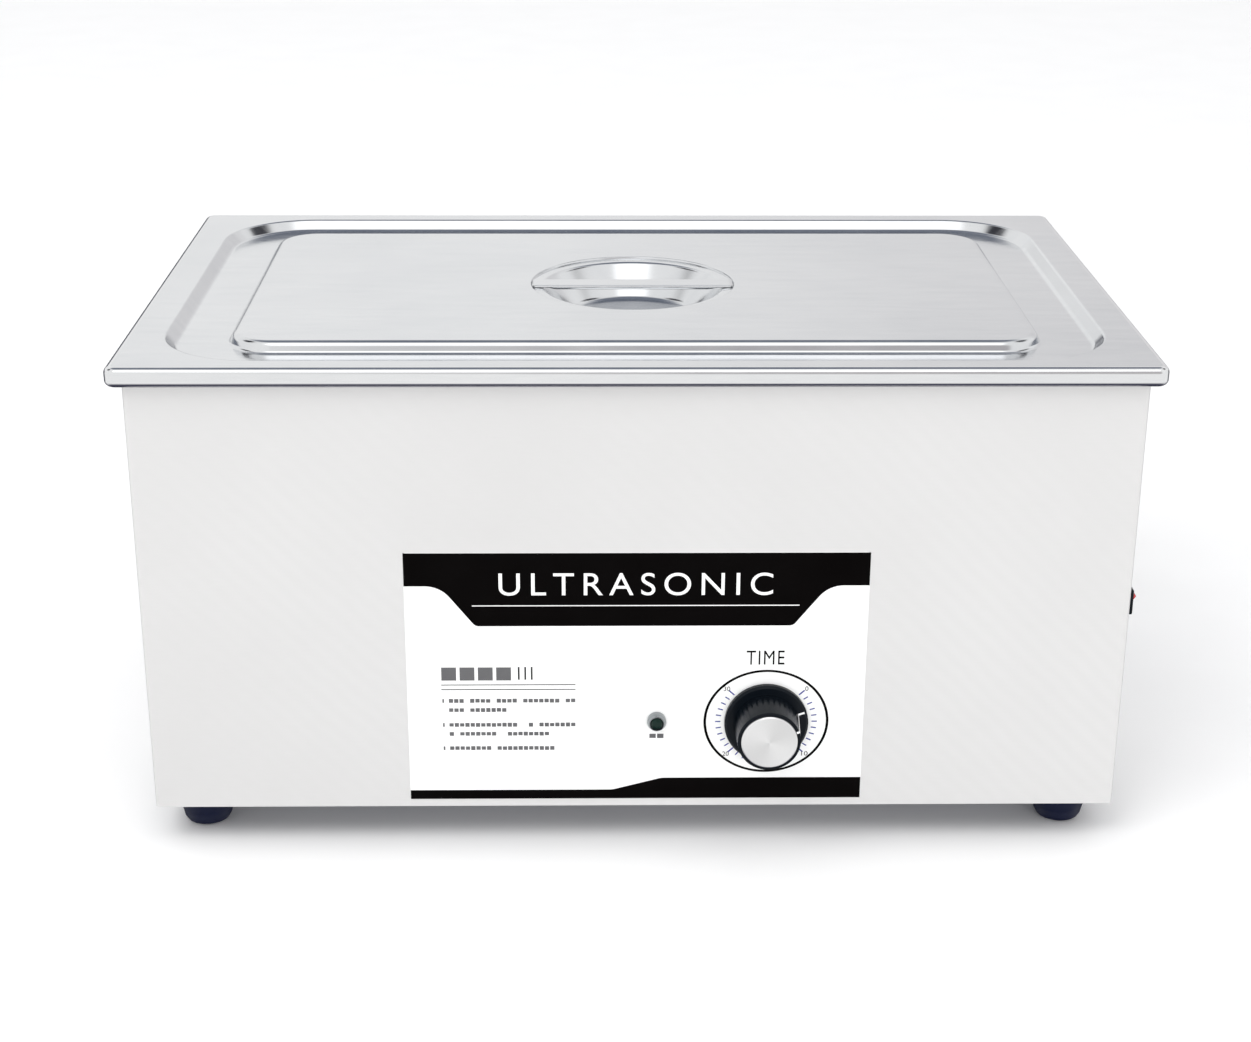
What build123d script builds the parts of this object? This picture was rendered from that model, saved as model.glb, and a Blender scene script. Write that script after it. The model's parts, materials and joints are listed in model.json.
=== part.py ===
from build123d import *
import os

# Benchtop ultrasonic cleaner with a 500 x 300 x 150 mm tank and a lift-off pan lid.
# Millimetres. The origin is on the bench, under the middle of the cabinet.
# +X is to the right, +Y to the rear and +Z up, so the control panel faces -Y.

os.makedirs("parts", exist_ok=True)

# ---- driving dimensions -------------------------------------------------------------
# Cabinet
CABINET_W = 515.0
CABINET_D = 310.0
CABINET_BOTTOM = 22.0
CABINET_TOP = 268.2
CABINET_CORNER = 2.5
SHEET = 1.2
FRONT = -CABINET_D / 2
REAR = CABINET_D / 2
INNER_FRONT = FRONT + SHEET
INNER_REAR = REAR - SHEET
PLATE_TOP = CABINET_BOTTOM + SHEET
FLANGE_W = 14.0

# Feet
FOOT_X = 235.0
FOOT_Y = 125.0
FOOT_H = CABINET_BOTTOM
FOOT_TOP_R = 18.0
FOOT_LOW_R = 13.5
FOOT_FLAT_R = 9.0
FOOT_BORE_R = 5.0

# Tank
TANK_W = 500.0
TANK_D = 300.0
TANK_DEPTH = 150.0
TANK_WALL = 1.0
TANK_CORNER = 32.0
TANK_FLOOR_FILLET = 12.0
TANK_TOP = CABINET_TOP + TANK_WALL
TANK_FLOOR = TANK_TOP - TANK_DEPTH
TANK_UNDER = TANK_FLOOR - TANK_WALL

# Lid
LID_W = 530.0
LID_D = 325.0
LID_SHEET = 0.8
LID_CORNER = 6.0
LID_RIM_UNDER = TANK_TOP
LID_RIM_TOP = LID_RIM_UNDER + LID_SHEET
HEM_W = 7.2
HEM_H = 10.4
HEM_ROUND = 3.5
HEM_LOW = LID_RIM_TOP - HEM_H
RECESS_W = 488.0
RECESS_D = 296.0
RECESS_CORNER = 50.0
RECESS_DEPTH = 6.0
RECESS_RUN = 5.0
PLATEAU_W = 424.0
PLATEAU_D = 234.0
PLATEAU_CORNER = 24.0
PLATEAU_RISE = 6.0
PLATEAU_RUN = 2.0
PLATEAU_TOP = LID_RIM_TOP - RECESS_DEPTH + PLATEAU_RISE
POCKET_R = 57.0
POCKET_SHOULDER_R = 50.0
POCKET_FLOOR_R = 37.5
POCKET_DEPTH = 20.0
STRAP_W = 14.0
STRAP_T = 1.2
STRAP_LIP = 1.0

# Control panel, all heights from the bench
PANEL_W = 241.0
PANEL_LOW = 26.5
PANEL_HIGH = 168.8
PANEL_T = 0.4
PANEL_FACE = FRONT - PANEL_T
KNOB_X = 68.9
KNOB_Z = 72.2
KNOB_GAP = 0.5
SKIRT_R = 22.2
SKIRT_T = 3.6
GRIP_R = 16.5
GRIP_LENGTH = 19.5
GRIP_FLUTES = 36
CAP_R = 14.65
CAP_T = 1.6
SHAFT_R = 3.0
RUNNING_GAP = 0.06
TIMER_SIZE = 48.0
TIMER_DEPTH = 32.0
TIMER_SCREW_X = 14.0
BUSH_R = 4.6
BUSH_HOLE_R = 6.0
SCREW_HOLE_R = 2.1
LAMP_X = 10.9
LAMP_Z = 72.9
LAMP_BEZEL_R = 5.05
LAMP_TUBE_R = 3.9
LAMP_LENS_R = 3.25

# Power rocker on the right side
SWITCH_Y = -145.8
SWITCH_Z = 138.5
SWITCH_BEZEL_Y = 10.5
SWITCH_BEZEL_Z = 13.6
SWITCH_BEZEL_T = 2.2
SWITCH_BODY_Y = 9.0
SWITCH_BODY_Z = 12.2
SWITCH_BODY_DEPTH = 14.5
ROCKER_PIVOT_X = CABINET_W / 2 - 1.3
ROCKER_W = 7.4
ROCKER_ARM = 4.6
ROCKER_TILT = 14.0

# Cooling fan on the rear wall
FAN_X = -130.0
FAN_Z = 70.0
FAN_SIZE = 80.0
FAN_DEPTH = 25.0
FAN_BORE_R = 38.0
FAN_PITCH = 71.5
FAN_HUB_R = 17.0
FAN_BLADE_R = 36.5
FAN_BLADES = 7

# Mains inlet with fuse drawer on the rear wall
INLET_X = 60.0
INLET_Z = 66.0
INLET_FLANGE_W = 50.0
INLET_FLANGE_H = 38.0
INLET_FLANGE_T = 3.0
INLET_BODY_W = 28.0
INLET_BODY_H = 33.0
INLET_BODY_DEPTH = 28.0
INLET_SCREW_X = 20.0
SOCKET_W = 24.0
SOCKET_H = 16.4
SOCKET_DEPTH = 17.0
SOCKET_Z = INLET_Z + 6.0
DRAWER_W = 20.0
DRAWER_H = 8.0
DRAWER_Z = INLET_Z - 10.0
DRAWER_GAP = 0.35

# Drain and ball valve
DRAIN_X = 215.0
DRAIN_Y = 105.0
DRAIN_Z = 72.0
DRAIN_HOLE_R = 9.0
PIPE_R = 10.5
PIPE_BORE_R = 8.5
PIPE_BEND_R = 24.0
VALVE_START_Y = REAR + 6.0
VALVE_LENGTH = 60.0
VALVE_Y = VALVE_START_Y + VALVE_LENGTH / 2
VALVE_R = 15.0
BALL_R = 11.0
BALL_GAP = 0.35
STEM_R = 3.5
LEVER_Z = DRAIN_Z + 27.0
LEVER_LENGTH = 86.0
SPIGOT_R = 9.0
SPIGOT_LENGTH = 24.0

# Transducers under the tank floor
TRANSDUCER_X = (-165.0, -55.0, 55.0, 165.0)
TRANSDUCER_Y = (-70.0, 70.0)
FRONT_MASS_R = 22.5
STACK_R = 19.0
FRONT_MASS_H = 20.0
CERAMIC_H = 5.0
ELECTRODE_H = 0.4
BACK_MASS_H = 20.0
STACK_BORE_R = 6.0
STACK_BOLT_R = 5.0

# Generator board
BOARD_X = -120.0
BOARD_Y = -5.0
BOARD_W = 180.0
BOARD_D = 118.0
BOARD_T = 1.6
BOARD_Z = PLATE_TOP + 8.0
BOARD_TOP = BOARD_Z + BOARD_T
STANDOFF_R = 3.5
STANDOFF_X = 82.0
STANDOFF_Y = 51.0

TO_FRONT = (90, 0, 0)
TO_REAR = (-90, 0, 0)
TO_BELOW = (180, 0, 0)
UPWARD = (Align.CENTER, Align.CENTER, Align.MIN)
DOWNWARD = (Align.CENTER, Align.CENTER, Align.MAX)


# ---- helpers --------------------------------------------------------------------------
def slab(width, depth, corner, low, high):
    """Upright block with rounded corners, centred on the origin's axis."""
    with BuildPart(mode=Mode.PRIVATE) as block:
        with BuildSketch(Plane.XY.offset(low)):
            RectangleRounded(width, depth, corner)
        extrude(amount=high - low)
    return block.part


def tapered_slab(low_size, low, high_size, high):
    """Loft between two rounded rectangles, each given as width, depth and corner."""
    with BuildPart(mode=Mode.PRIVATE) as block:
        with BuildSketch(Plane.XY.offset(low)):
            RectangleRounded(*low_size)
        with BuildSketch(Plane.XY.offset(high)):
            RectangleRounded(*high_size)
        loft()
    return block.part


def turned(points):
    """Solid of revolution about Z from (radius, height) points."""
    with BuildPart(mode=Mode.PRIVATE) as body:
        with BuildSketch(Plane.XZ):
            with BuildLine():
                Polyline(*points, close=True)
            make_face()
        revolve(axis=Axis.Z)
    return body.part


def screw(head_r, head_h, shank_r, length):
    """Socket-head screw along local Z: head above zero, shank below."""
    socket_depth = 0.55 * head_h
    with BuildPart(mode=Mode.PRIVATE) as body:
        Cylinder(head_r, head_h, align=UPWARD)
        chamfer(body.edges().sort_by(Axis.Z)[-1], 0.2 * head_h)
        Cylinder(shank_r, length, align=DOWNWARD)
        with BuildSketch(Plane.XY.offset(head_h)):
            RegularPolygon(0.45 * head_r, 6)
        extrude(amount=-socket_depth, mode=Mode.SUBTRACT)
    return body.part


def hex_nut(flats_r, bore_r, height):
    """Hexagon nut along local Z, standing on zero."""
    with BuildPart(mode=Mode.PRIVATE) as body:
        with BuildSketch():
            RegularPolygon(flats_r, 6, major_radius=False)
            Circle(bore_r, mode=Mode.SUBTRACT)
        extrude(amount=height)
    return body.part


def wire_run(points, radius, bend):
    """One insulated wire: straight runs joined by tangent arcs."""
    with BuildPart(mode=Mode.PRIVATE) as wire:
        with BuildLine() as path:
            FilletPolyline(*points, radius=bend)
        with BuildSketch(path.line ^ 0):
            Circle(radius)
        sweep()
    return wire.part


def control_holes(mode=Mode.ADD):
    """Holes for the timer's bush, its two screws and the pilot lamp, in an XZ sketch."""
    with Locations((KNOB_X, KNOB_Z)):
        Circle(BUSH_HOLE_R, mode=mode)
    with Locations((KNOB_X - TIMER_SCREW_X, KNOB_Z), (KNOB_X + TIMER_SCREW_X, KNOB_Z)):
        Circle(SCREW_HOLE_R, mode=mode)
    with Locations((LAMP_X, LAMP_Z)):
        Circle(LAMP_TUBE_R + 0.2, mode=mode)


def save(piece, label):
    piece.part.label = label
    export_step(piece.part, f"parts/{label}.step")


# ---- cabinet ------------------------------------------------------------------------------
# Folded sheet wrapper: front and side walls that turn the rear corners, a narrow top return
# under the tank flange, and a bottom return that the base plate screws to.
wall_block = slab(CABINET_W, CABINET_D, CABINET_CORNER, CABINET_BOTTOM, CABINET_TOP)
wall_hollow = slab(
    CABINET_W - 2 * SHEET, CABINET_D - 2 * SHEET, CABINET_CORNER - SHEET, 0, CABINET_TOP + 1
)
return_block = slab(
    CABINET_W - 2 * SHEET, CABINET_D - 2 * SHEET, CABINET_CORNER - SHEET,
    PLATE_TOP, PLATE_TOP + SHEET,
)
return_opening = slab(
    CABINET_W - 2 * FLANGE_W, CABINET_D - 2 * FLANGE_W, 4, 0, PLATE_TOP + 2 * SHEET
)
top_return = slab(
    CABINET_W - 2 * SHEET, CABINET_D - 2 * SHEET, CABINET_CORNER - SHEET,
    CABINET_TOP - SHEET, CABINET_TOP,
)
top_opening = slab(
    TANK_W + 4, TANK_D + 4, TANK_CORNER + 2, CABINET_TOP - 2 * SHEET, CABINET_TOP + 1
)
BASE_SCREW_X = 170.0
BASE_SCREW_LEFT_RIGHT_Y = 70.0
BASE_SCREW_INSET = 7.5
base_screw_spots = [
    (x, y)
    for x in (-BASE_SCREW_X, BASE_SCREW_X)
    for y in (FRONT + BASE_SCREW_INSET, REAR - BASE_SCREW_INSET)
] + [
    (x, y)
    for x in (-CABINET_W / 2 + BASE_SCREW_INSET, CABINET_W / 2 - BASE_SCREW_INSET)
    for y in (-BASE_SCREW_LEFT_RIGHT_Y, BASE_SCREW_LEFT_RIGHT_Y)
]
VENT_SLOT_LENGTH = 46.0
VENT_SLOT_H = 4.0
VENT_PITCH = 9.0
VENT_ROWS = 6
VENT_Z = 72.0
VENT_Y = 75.0

# Rear panel: its flanges lie behind it, inside the cabinet
REAR_OPENING_W = 494.0
REAR_FLANGE_X = 246.0
REAR_FLANGE_W = 20.0
REAR_SCREW_X = 243.0
REAR_SCREW_R = 1.7
panel_screw_spots = [(x, z) for x in (-REAR_SCREW_X, REAR_SCREW_X) for z in (45.0, 145.0, 245.0)]

with BuildPart() as housing_shell:
    add(wall_block)
    add(wall_hollow, mode=Mode.SUBTRACT)
    add(return_block - return_opening)
    add(top_return - top_opening)
    # Front wall: timer shaft, timer screws and pilot lamp
    with BuildSketch(Plane.XZ.offset(-FRONT)):
        control_holes()
    extrude(amount=-2 * SHEET, mode=Mode.SUBTRACT)
    # The rear is left open for the rear panel, with a flange down each side of the opening
    with BuildSketch(Plane.XZ.offset(-REAR)):
        with Locations((0, CABINET_BOTTOM)):
            Rectangle(REAR_OPENING_W, CABINET_TOP - CABINET_BOTTOM, align=(Align.CENTER, Align.MIN))
    extrude(amount=SHEET, mode=Mode.SUBTRACT)
    with BuildSketch(Plane.XZ.offset(-INNER_REAR)):
        with Locations((-REAR_FLANGE_X, PLATE_TOP), (REAR_FLANGE_X, PLATE_TOP)):
            Rectangle(REAR_FLANGE_W, CABINET_TOP - PLATE_TOP, align=(Align.CENTER, Align.MIN))
        with Locations(*panel_screw_spots):
            Circle(REAR_SCREW_R, mode=Mode.SUBTRACT)
    extrude(amount=SHEET)
    # Right wall: power rocker
    with BuildSketch(Plane.YZ.offset(CABINET_W / 2)):
        with Locations((SWITCH_Y, SWITCH_Z)):
            Rectangle(SWITCH_BODY_Y + 0.2, SWITCH_BODY_Z + 0.2)
    extrude(amount=-2 * SHEET, mode=Mode.SUBTRACT)
    # Vent slots low in both side walls
    with BuildSketch(Plane.YZ):
        with Locations((VENT_Y, VENT_Z), (-VENT_Y, VENT_Z)):
            with GridLocations(0, VENT_PITCH, 1, VENT_ROWS):
                SlotOverall(VENT_SLOT_LENGTH, VENT_SLOT_H)
    extrude(amount=CABINET_W, both=True, mode=Mode.SUBTRACT)
    # Screw holes in the bottom return
    with BuildSketch(Plane.XY):
        with Locations(*base_screw_spots):
            Circle(2.1)
    extrude(amount=CABINET_BOTTOM + 4, mode=Mode.SUBTRACT)
save(housing_shell, "housing_shell")

# Rear panel with the fan, inlet and drain openings, flush with the cabinet's rear corners.
with BuildPart() as rear_panel:
    with BuildSketch(Plane.XZ.offset(-REAR)):
        with Locations((0, CABINET_BOTTOM)):
            Rectangle(REAR_OPENING_W - 0.6, CABINET_TOP - CABINET_BOTTOM, align=(Align.CENTER, Align.MIN))
        with Locations(*panel_screw_spots):
            Circle(REAR_SCREW_R, mode=Mode.SUBTRACT)
        with Locations((FAN_X, FAN_Z)):
            Circle(FAN_BORE_R - 0.5, mode=Mode.SUBTRACT)
            with GridLocations(FAN_PITCH, FAN_PITCH, 2, 2):
                Circle(SCREW_HOLE_R, mode=Mode.SUBTRACT)
        with Locations((INLET_X, INLET_Z)):
            Rectangle(INLET_BODY_W + 0.4, INLET_BODY_H + 0.4, mode=Mode.SUBTRACT)
            with GridLocations(2 * INLET_SCREW_X, 0, 2, 1):
                Circle(1.7, mode=Mode.SUBTRACT)
        with Locations((DRAIN_X, DRAIN_Z)):
            Circle(PIPE_R + 0.4, mode=Mode.SUBTRACT)
    extrude(amount=SHEET)
save(rear_panel, "rear_panel")

panel_screw = screw(3.2, 1.6, 1.6, 6)
with BuildPart() as panel_screws:
    with Locations(*[Location((x, REAR, z), TO_REAR) for x, z in panel_screw_spots]):
        add(panel_screw)
save(panel_screws, "panel_screws")

# Base plate, let in between the walls under the return.
with BuildPart() as bottom_plate:
    with BuildSketch(Plane.XY.offset(CABINET_BOTTOM)):
        RectangleRounded(CABINET_W - 2 * SHEET - 1, CABINET_D - 2 * SHEET - 1, CABINET_CORNER - SHEET)
        with Locations(*base_screw_spots):
            Circle(SCREW_HOLE_R, mode=Mode.SUBTRACT)
        with GridLocations(2 * FOOT_X, 2 * FOOT_Y, 2, 2):
            Circle(2.7, mode=Mode.SUBTRACT)
        with Locations((BOARD_X, BOARD_Y)):
            with GridLocations(2 * STANDOFF_X, 2 * STANDOFF_Y, 2, 2):
                Circle(1.6, mode=Mode.SUBTRACT)
        with Locations((120, 0)):
            with GridLocations(0, 12, 1, 9):
                SlotOverall(80, 4, mode=Mode.SUBTRACT)
    extrude(amount=SHEET)
save(bottom_plate, "bottom_plate")

base_screw = screw(3.6, 1.8, 1.9, 7)
with BuildPart() as bottom_screws:
    with Locations(*[Location((x, y, CABINET_BOTTOM), TO_BELOW) for x, y in base_screw_spots]):
        add(base_screw)
save(bottom_screws, "bottom_screws")

# ---- feet --------------------------------------------------------------------------------
# Tapered rubber feet; the screw head sits deep in the bore so that only rubber touches.
foot_body = turned([
    (FOOT_BORE_R, 0), (FOOT_FLAT_R, 0), (11.6, 1.3), (12.9, 3.6), (FOOT_LOW_R, 7),
    (FOOT_TOP_R, FOOT_H - 1.5), (FOOT_TOP_R, FOOT_H), (2.8, FOOT_H), (2.8, 15), (FOOT_BORE_R, 15),
])
foot_spots = {
    "foot_front_left": (-FOOT_X, -FOOT_Y), "foot_front_right": (FOOT_X, -FOOT_Y),
    "foot_rear_left": (-FOOT_X, FOOT_Y), "foot_rear_right": (FOOT_X, FOOT_Y),
}
for foot_name, (foot_x, foot_y) in foot_spots.items():
    with BuildPart() as foot:
        with Locations((foot_x, foot_y, 0)):
            add(foot_body)
    save(foot, foot_name)

FOOT_SCREW_SEAT = 15.0
foot_screw = screw(4.4, 3.0, 2.5, 13)
foot_nut = hex_nut(4.0, 2.6, 3.6)
with BuildPart() as foot_screws:
    with Locations(*[
        Location((x, y, FOOT_SCREW_SEAT), TO_BELOW) for x, y in foot_spots.values()
    ]):
        add(foot_screw)
save(foot_screws, "foot_screws")

with BuildPart() as foot_nuts:
    with Locations(*[(x, y, PLATE_TOP) for x, y in foot_spots.values()]):
        add(foot_nut)
save(foot_nuts, "foot_nuts")

# ---- tank -----------------------------------------------------------------------------------
# Deep-drawn tank with a flat flange that lies on the cabinet.
tank_bowl = slab(
    TANK_W + 2 * TANK_WALL, TANK_D + 2 * TANK_WALL, TANK_CORNER + TANK_WALL, TANK_UNDER, TANK_TOP
)
tank_bowl = fillet(
    tank_bowl.faces().sort_by(Axis.Z)[0].edges(), TANK_FLOOR_FILLET + TANK_WALL
)
tank_hollow = slab(TANK_W, TANK_D, TANK_CORNER, TANK_FLOOR, TANK_TOP + 1)
tank_hollow = fillet(tank_hollow.faces().sort_by(Axis.Z)[0].edges(), TANK_FLOOR_FILLET)
tank_flange = slab(CABINET_W, CABINET_D, CABINET_CORNER, CABINET_TOP, TANK_TOP)
with BuildPart() as tank:
    add(tank_bowl)
    add(tank_flange)
    add(tank_hollow, mode=Mode.SUBTRACT)
    with BuildSketch(Plane.XY.offset(TANK_FLOOR + 1)):
        with Locations((DRAIN_X, DRAIN_Y)):
            Circle(DRAIN_HOLE_R)
    extrude(amount=-3, mode=Mode.SUBTRACT)
save(tank, "tank")

# ---- drain --------------------------------------------------------------------------------
BOSS_R = 15.0
BOSS_LOW = 100.0
with BuildPart() as drain_boss:
    with BuildSketch(Plane.XY.offset(BOSS_LOW)):
        with Locations((DRAIN_X, DRAIN_Y)):
            Circle(BOSS_R)
            Circle(PIPE_R + 0.05, mode=Mode.SUBTRACT)
    extrude(amount=TANK_UNDER - BOSS_LOW)
save(drain_boss, "drain_boss")

PIPE_TOP = TANK_UNDER - 3
PIPE_END_Y = VALVE_START_Y + 14
with BuildPart() as drain_elbow:
    with BuildLine() as drain_path:
        FilletPolyline(
            (DRAIN_X, DRAIN_Y, PIPE_TOP), (DRAIN_X, DRAIN_Y, DRAIN_Z),
            (DRAIN_X, PIPE_END_Y, DRAIN_Z), radius=PIPE_BEND_R,
        )
    with BuildSketch(drain_path.line ^ 0):
        Circle(PIPE_R)
        Circle(PIPE_BORE_R, mode=Mode.SUBTRACT)
    sweep()
save(drain_elbow, "drain_elbow")

NUT_H = 5.0
bulkhead_nut = hex_nut(15.0, PIPE_R + 0.05, NUT_H)
with BuildPart() as bulkhead_nuts:
    with Locations(
        Location((DRAIN_X, INNER_REAR, DRAIN_Z), TO_FRONT), Location((DRAIN_X, REAR, DRAIN_Z), TO_REAR)
    ):
        add(bulkhead_nut)
save(bulkhead_nuts, "bulkhead_nuts")

VALVE_END_Y = VALVE_START_Y + VALVE_LENGTH
SOCKET_END = 14.5
NECK_TOP = DRAIN_Z + VALVE_R + 5
with BuildPart() as valve_body:
    # Barrel turned about the flow axis, with a hexagon at each end
    with Locations(Location((DRAIN_X, VALVE_START_Y, DRAIN_Z), TO_REAR)):
        add(hex_nut(14.0, 5.0, 13))
        with Locations((0, 0, VALVE_LENGTH - 12)):
            add(hex_nut(14.0, 5.0, 12))
        with Locations((0, 0, 13)):
            Cylinder(VALVE_R, VALVE_LENGTH - 25, align=UPWARD)
        Cylinder(PIPE_R + 0.05, SOCKET_END, align=UPWARD, mode=Mode.SUBTRACT)
        Cylinder(7.0, VALVE_LENGTH, align=UPWARD, mode=Mode.SUBTRACT)
        with Locations((0, 0, VALVE_LENGTH - 10)):
            Cylinder(SPIGOT_R + 0.05, 12, align=UPWARD, mode=Mode.SUBTRACT)
    # Neck for the stem
    with Locations((DRAIN_X, VALVE_Y, DRAIN_Z)):
        Cylinder(7.0, NECK_TOP - DRAIN_Z, align=UPWARD)
        Sphere(BALL_R + BALL_GAP, mode=Mode.SUBTRACT)
        Cylinder(STEM_R + RUNNING_GAP, 40, align=UPWARD, mode=Mode.SUBTRACT)
save(valve_body, "valve_body")

with BuildPart() as valve_ball:
    with Locations((DRAIN_X, VALVE_Y, DRAIN_Z)):
        Sphere(BALL_R)
        Cylinder(6.5, 3 * BALL_R, rotation=(0, 90, 0), mode=Mode.SUBTRACT)
        with Locations((0, 0, BALL_R)):
            Box(5.1, 1.7, 4, mode=Mode.SUBTRACT)
save(valve_ball, "valve_ball")

LEVER_T = 2.5
with BuildPart() as valve_stem:
    with Locations((DRAIN_X, VALVE_Y, DRAIN_Z + BALL_R - 1.9)):
        Box(5.0, 1.6, 2.4, align=UPWARD)
    with Locations((DRAIN_X, VALVE_Y, DRAIN_Z + BALL_R + 0.4)):
        Cylinder(STEM_R, LEVER_Z - DRAIN_Z - BALL_R - 0.4, align=UPWARD)
    with Locations((DRAIN_X, VALVE_Y, LEVER_Z)):
        Cylinder(2.4, 8.5, align=UPWARD)
save(valve_stem, "valve_stem")

with BuildPart() as valve_lever:
    with BuildSketch(Plane.XY.offset(LEVER_Z)):
        with Locations((DRAIN_X, VALVE_Y)):
            Circle(9)
        with Locations((DRAIN_X - LEVER_LENGTH / 2, VALVE_Y)):
            SlotOverall(LEVER_LENGTH, 13)
        with Locations((DRAIN_X, VALVE_Y)):
            Circle(2.45, mode=Mode.SUBTRACT)
    extrude(amount=LEVER_T)
    # Grip sleeve moulded round the outer part of the lever
    with BuildSketch(Plane.XY.offset(LEVER_Z - 1.5)):
        with Locations((DRAIN_X - LEVER_LENGTH + 24, VALVE_Y)):
            SlotOverall(50, 17)
    extrude(amount=LEVER_T + 3)
save(valve_lever, "valve_lever")

with BuildPart() as lever_nut:
    with Locations((DRAIN_X, VALVE_Y, LEVER_Z + LEVER_T)):
        add(hex_nut(4.0, 2.45, 4))
save(lever_nut, "lever_nut")

with BuildPart() as hose_spigot:
    with Locations(Location((DRAIN_X, VALVE_END_Y - 9, DRAIN_Z), TO_REAR)):
        add(turned([
            (6.5, 0), (SPIGOT_R, 0), (SPIGOT_R, 9), (12.5, 9), (12.5, 12), (SPIGOT_R, 12),
            (SPIGOT_R, 12 + SPIGOT_LENGTH), (7.6, 14 + SPIGOT_LENGTH), (6.5, 14 + SPIGOT_LENGTH),
        ]))
save(hose_spigot, "hose_spigot")

# ---- control panel ---------------------------------------------------------------------
with BuildPart() as control_panel_label:
    with BuildSketch(Plane.XZ.offset(-FRONT)):
        with Locations((0, (PANEL_LOW + PANEL_HIGH) / 2)):
            RectangleRounded(PANEL_W, PANEL_HIGH - PANEL_LOW, 1.5)
        control_holes(Mode.SUBTRACT)
    extrude(amount=PANEL_T)
save(control_panel_label, "control_panel_label")

# Timer: a clockwork switch held behind the panel by two screws
BUSH_END = 2.1
with BuildPart() as timer_body:
    with Locations((KNOB_X, INNER_FRONT, KNOB_Z)):
        Box(TIMER_SIZE, TIMER_DEPTH, TIMER_SIZE, align=(Align.CENTER, Align.MIN, Align.CENTER))
    fillet(timer_body.edges().filter_by(Axis.Y), 4)
    with Locations(Location((KNOB_X, INNER_FRONT, KNOB_Z), TO_FRONT)):
        Cylinder(BUSH_R, SHEET + PANEL_T + BUSH_END, align=UPWARD)
        Cylinder(SHAFT_R + RUNNING_GAP, 30, mode=Mode.SUBTRACT)
        with Locations((TIMER_SCREW_X, 0, 0), (-TIMER_SCREW_X, 0, 0)):
            Cylinder(1.6, 20, mode=Mode.SUBTRACT)
    with Locations((KNOB_X, INNER_FRONT + TIMER_DEPTH, KNOB_Z)):
        with GridLocations(24, 0, 2, 1):
            Box(6.3, 8, 0.8, align=(Align.CENTER, Align.MIN, Align.CENTER))
save(timer_body, "timer_body")

timer_screw = screw(3.2, 1.4, 1.5, 10)
with BuildPart() as timer_screws:
    with Locations(*[
        Location((KNOB_X + x, PANEL_FACE, KNOB_Z), TO_FRONT) for x in (-TIMER_SCREW_X, TIMER_SCREW_X)
    ]):
        add(timer_screw)
save(timer_screws, "timer_screws")

SKIRT_BACK = PANEL_FACE - KNOB_GAP
SKIRT_FACE = SKIRT_BACK - SKIRT_T
GRIP_FACE = SKIRT_FACE - GRIP_LENGTH
SHAFT_BACK = INNER_FRONT + 14
with BuildPart() as timer_shaft:
    with Locations(Location((KNOB_X, SHAFT_BACK, KNOB_Z), TO_FRONT)):
        Cylinder(SHAFT_R, SHAFT_BACK - GRIP_FACE - 6, align=UPWARD)
    # Flat that keys the knob
    with Locations((KNOB_X, SKIRT_FACE, KNOB_Z + SHAFT_R - 0.6)):
        Box(8, GRIP_LENGTH, 4, align=(Align.CENTER, Align.MAX, Align.MIN), mode=Mode.SUBTRACT)
save(timer_shaft, "timer_shaft")

# Knob: hollow skirt and fluted grip. Local Z runs out of the panel.
FLUTE_R = 0.75
with BuildPart(mode=Mode.PRIVATE) as knob_form:
    Cylinder(SKIRT_R, SKIRT_T, align=UPWARD)
    chamfer(knob_form.edges().sort_by(Axis.Z)[-1], 1.2)
    with Locations((0, 0, SKIRT_T)):
        Cone(GRIP_R + 1, GRIP_R, GRIP_LENGTH, align=UPWARD)
    with PolarLocations(GRIP_R + 1.1, GRIP_FLUTES):
        with Locations((0, 0, SKIRT_T + 1.5)):
            Cylinder(FLUTE_R, GRIP_LENGTH, align=UPWARD, mode=Mode.SUBTRACT)
    Cylinder(18.5, 2.4, align=UPWARD, mode=Mode.SUBTRACT)
    Cylinder(SHAFT_R + 0.03, SKIRT_T + GRIP_LENGTH - 5, align=UPWARD, mode=Mode.SUBTRACT)
with BuildPart() as timer_knob:
    with Locations(Location((KNOB_X, SKIRT_BACK, KNOB_Z), TO_FRONT)):
        add(knob_form.part)
save(timer_knob, "timer_knob")

with BuildPart() as knob_cap:
    with Locations(Location((KNOB_X, GRIP_FACE, KNOB_Z), TO_FRONT)):
        add(turned([
            (0, 0), (CAP_R, 0), (CAP_R, CAP_T - 0.6), (CAP_R - 0.6, CAP_T), (0, CAP_T),
        ]))
save(knob_cap, "knob_cap")

# Pilot lamp
with BuildPart() as lamp_bezel:
    with Locations(Location((LAMP_X, PANEL_FACE, LAMP_Z), TO_FRONT)):
        add(turned([
            (LAMP_LENS_R + 0.05, -12), (LAMP_TUBE_R, -12), (LAMP_TUBE_R, 0), (LAMP_BEZEL_R, 0),
            (LAMP_BEZEL_R, 2.6), (LAMP_BEZEL_R - 0.9, 4.2), (LAMP_LENS_R + 0.4, 4.4),
            (LAMP_LENS_R + 0.05, 4.0),
        ]))
save(lamp_bezel, "lamp_bezel")

with BuildPart() as lamp_lens:
    with Locations(Location((LAMP_X, PANEL_FACE, LAMP_Z), TO_FRONT)):
        add(turned([
            (0, 1.0), (LAMP_LENS_R, 1.0), (LAMP_LENS_R, 4.0), (2.6, 5.0), (1.5, 5.5), (0, 5.7),
        ]))
save(lamp_lens, "lamp_lens")

with BuildPart() as lamp_body:
    with Locations(Location((LAMP_X, PANEL_FACE, LAMP_Z), TO_FRONT)):
        add(turned([
            (0, -22), (2.6, -22), (LAMP_LENS_R, -20), (LAMP_LENS_R, 0.6), (0, 0.6),
        ]))
save(lamp_body, "lamp_body")

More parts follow.
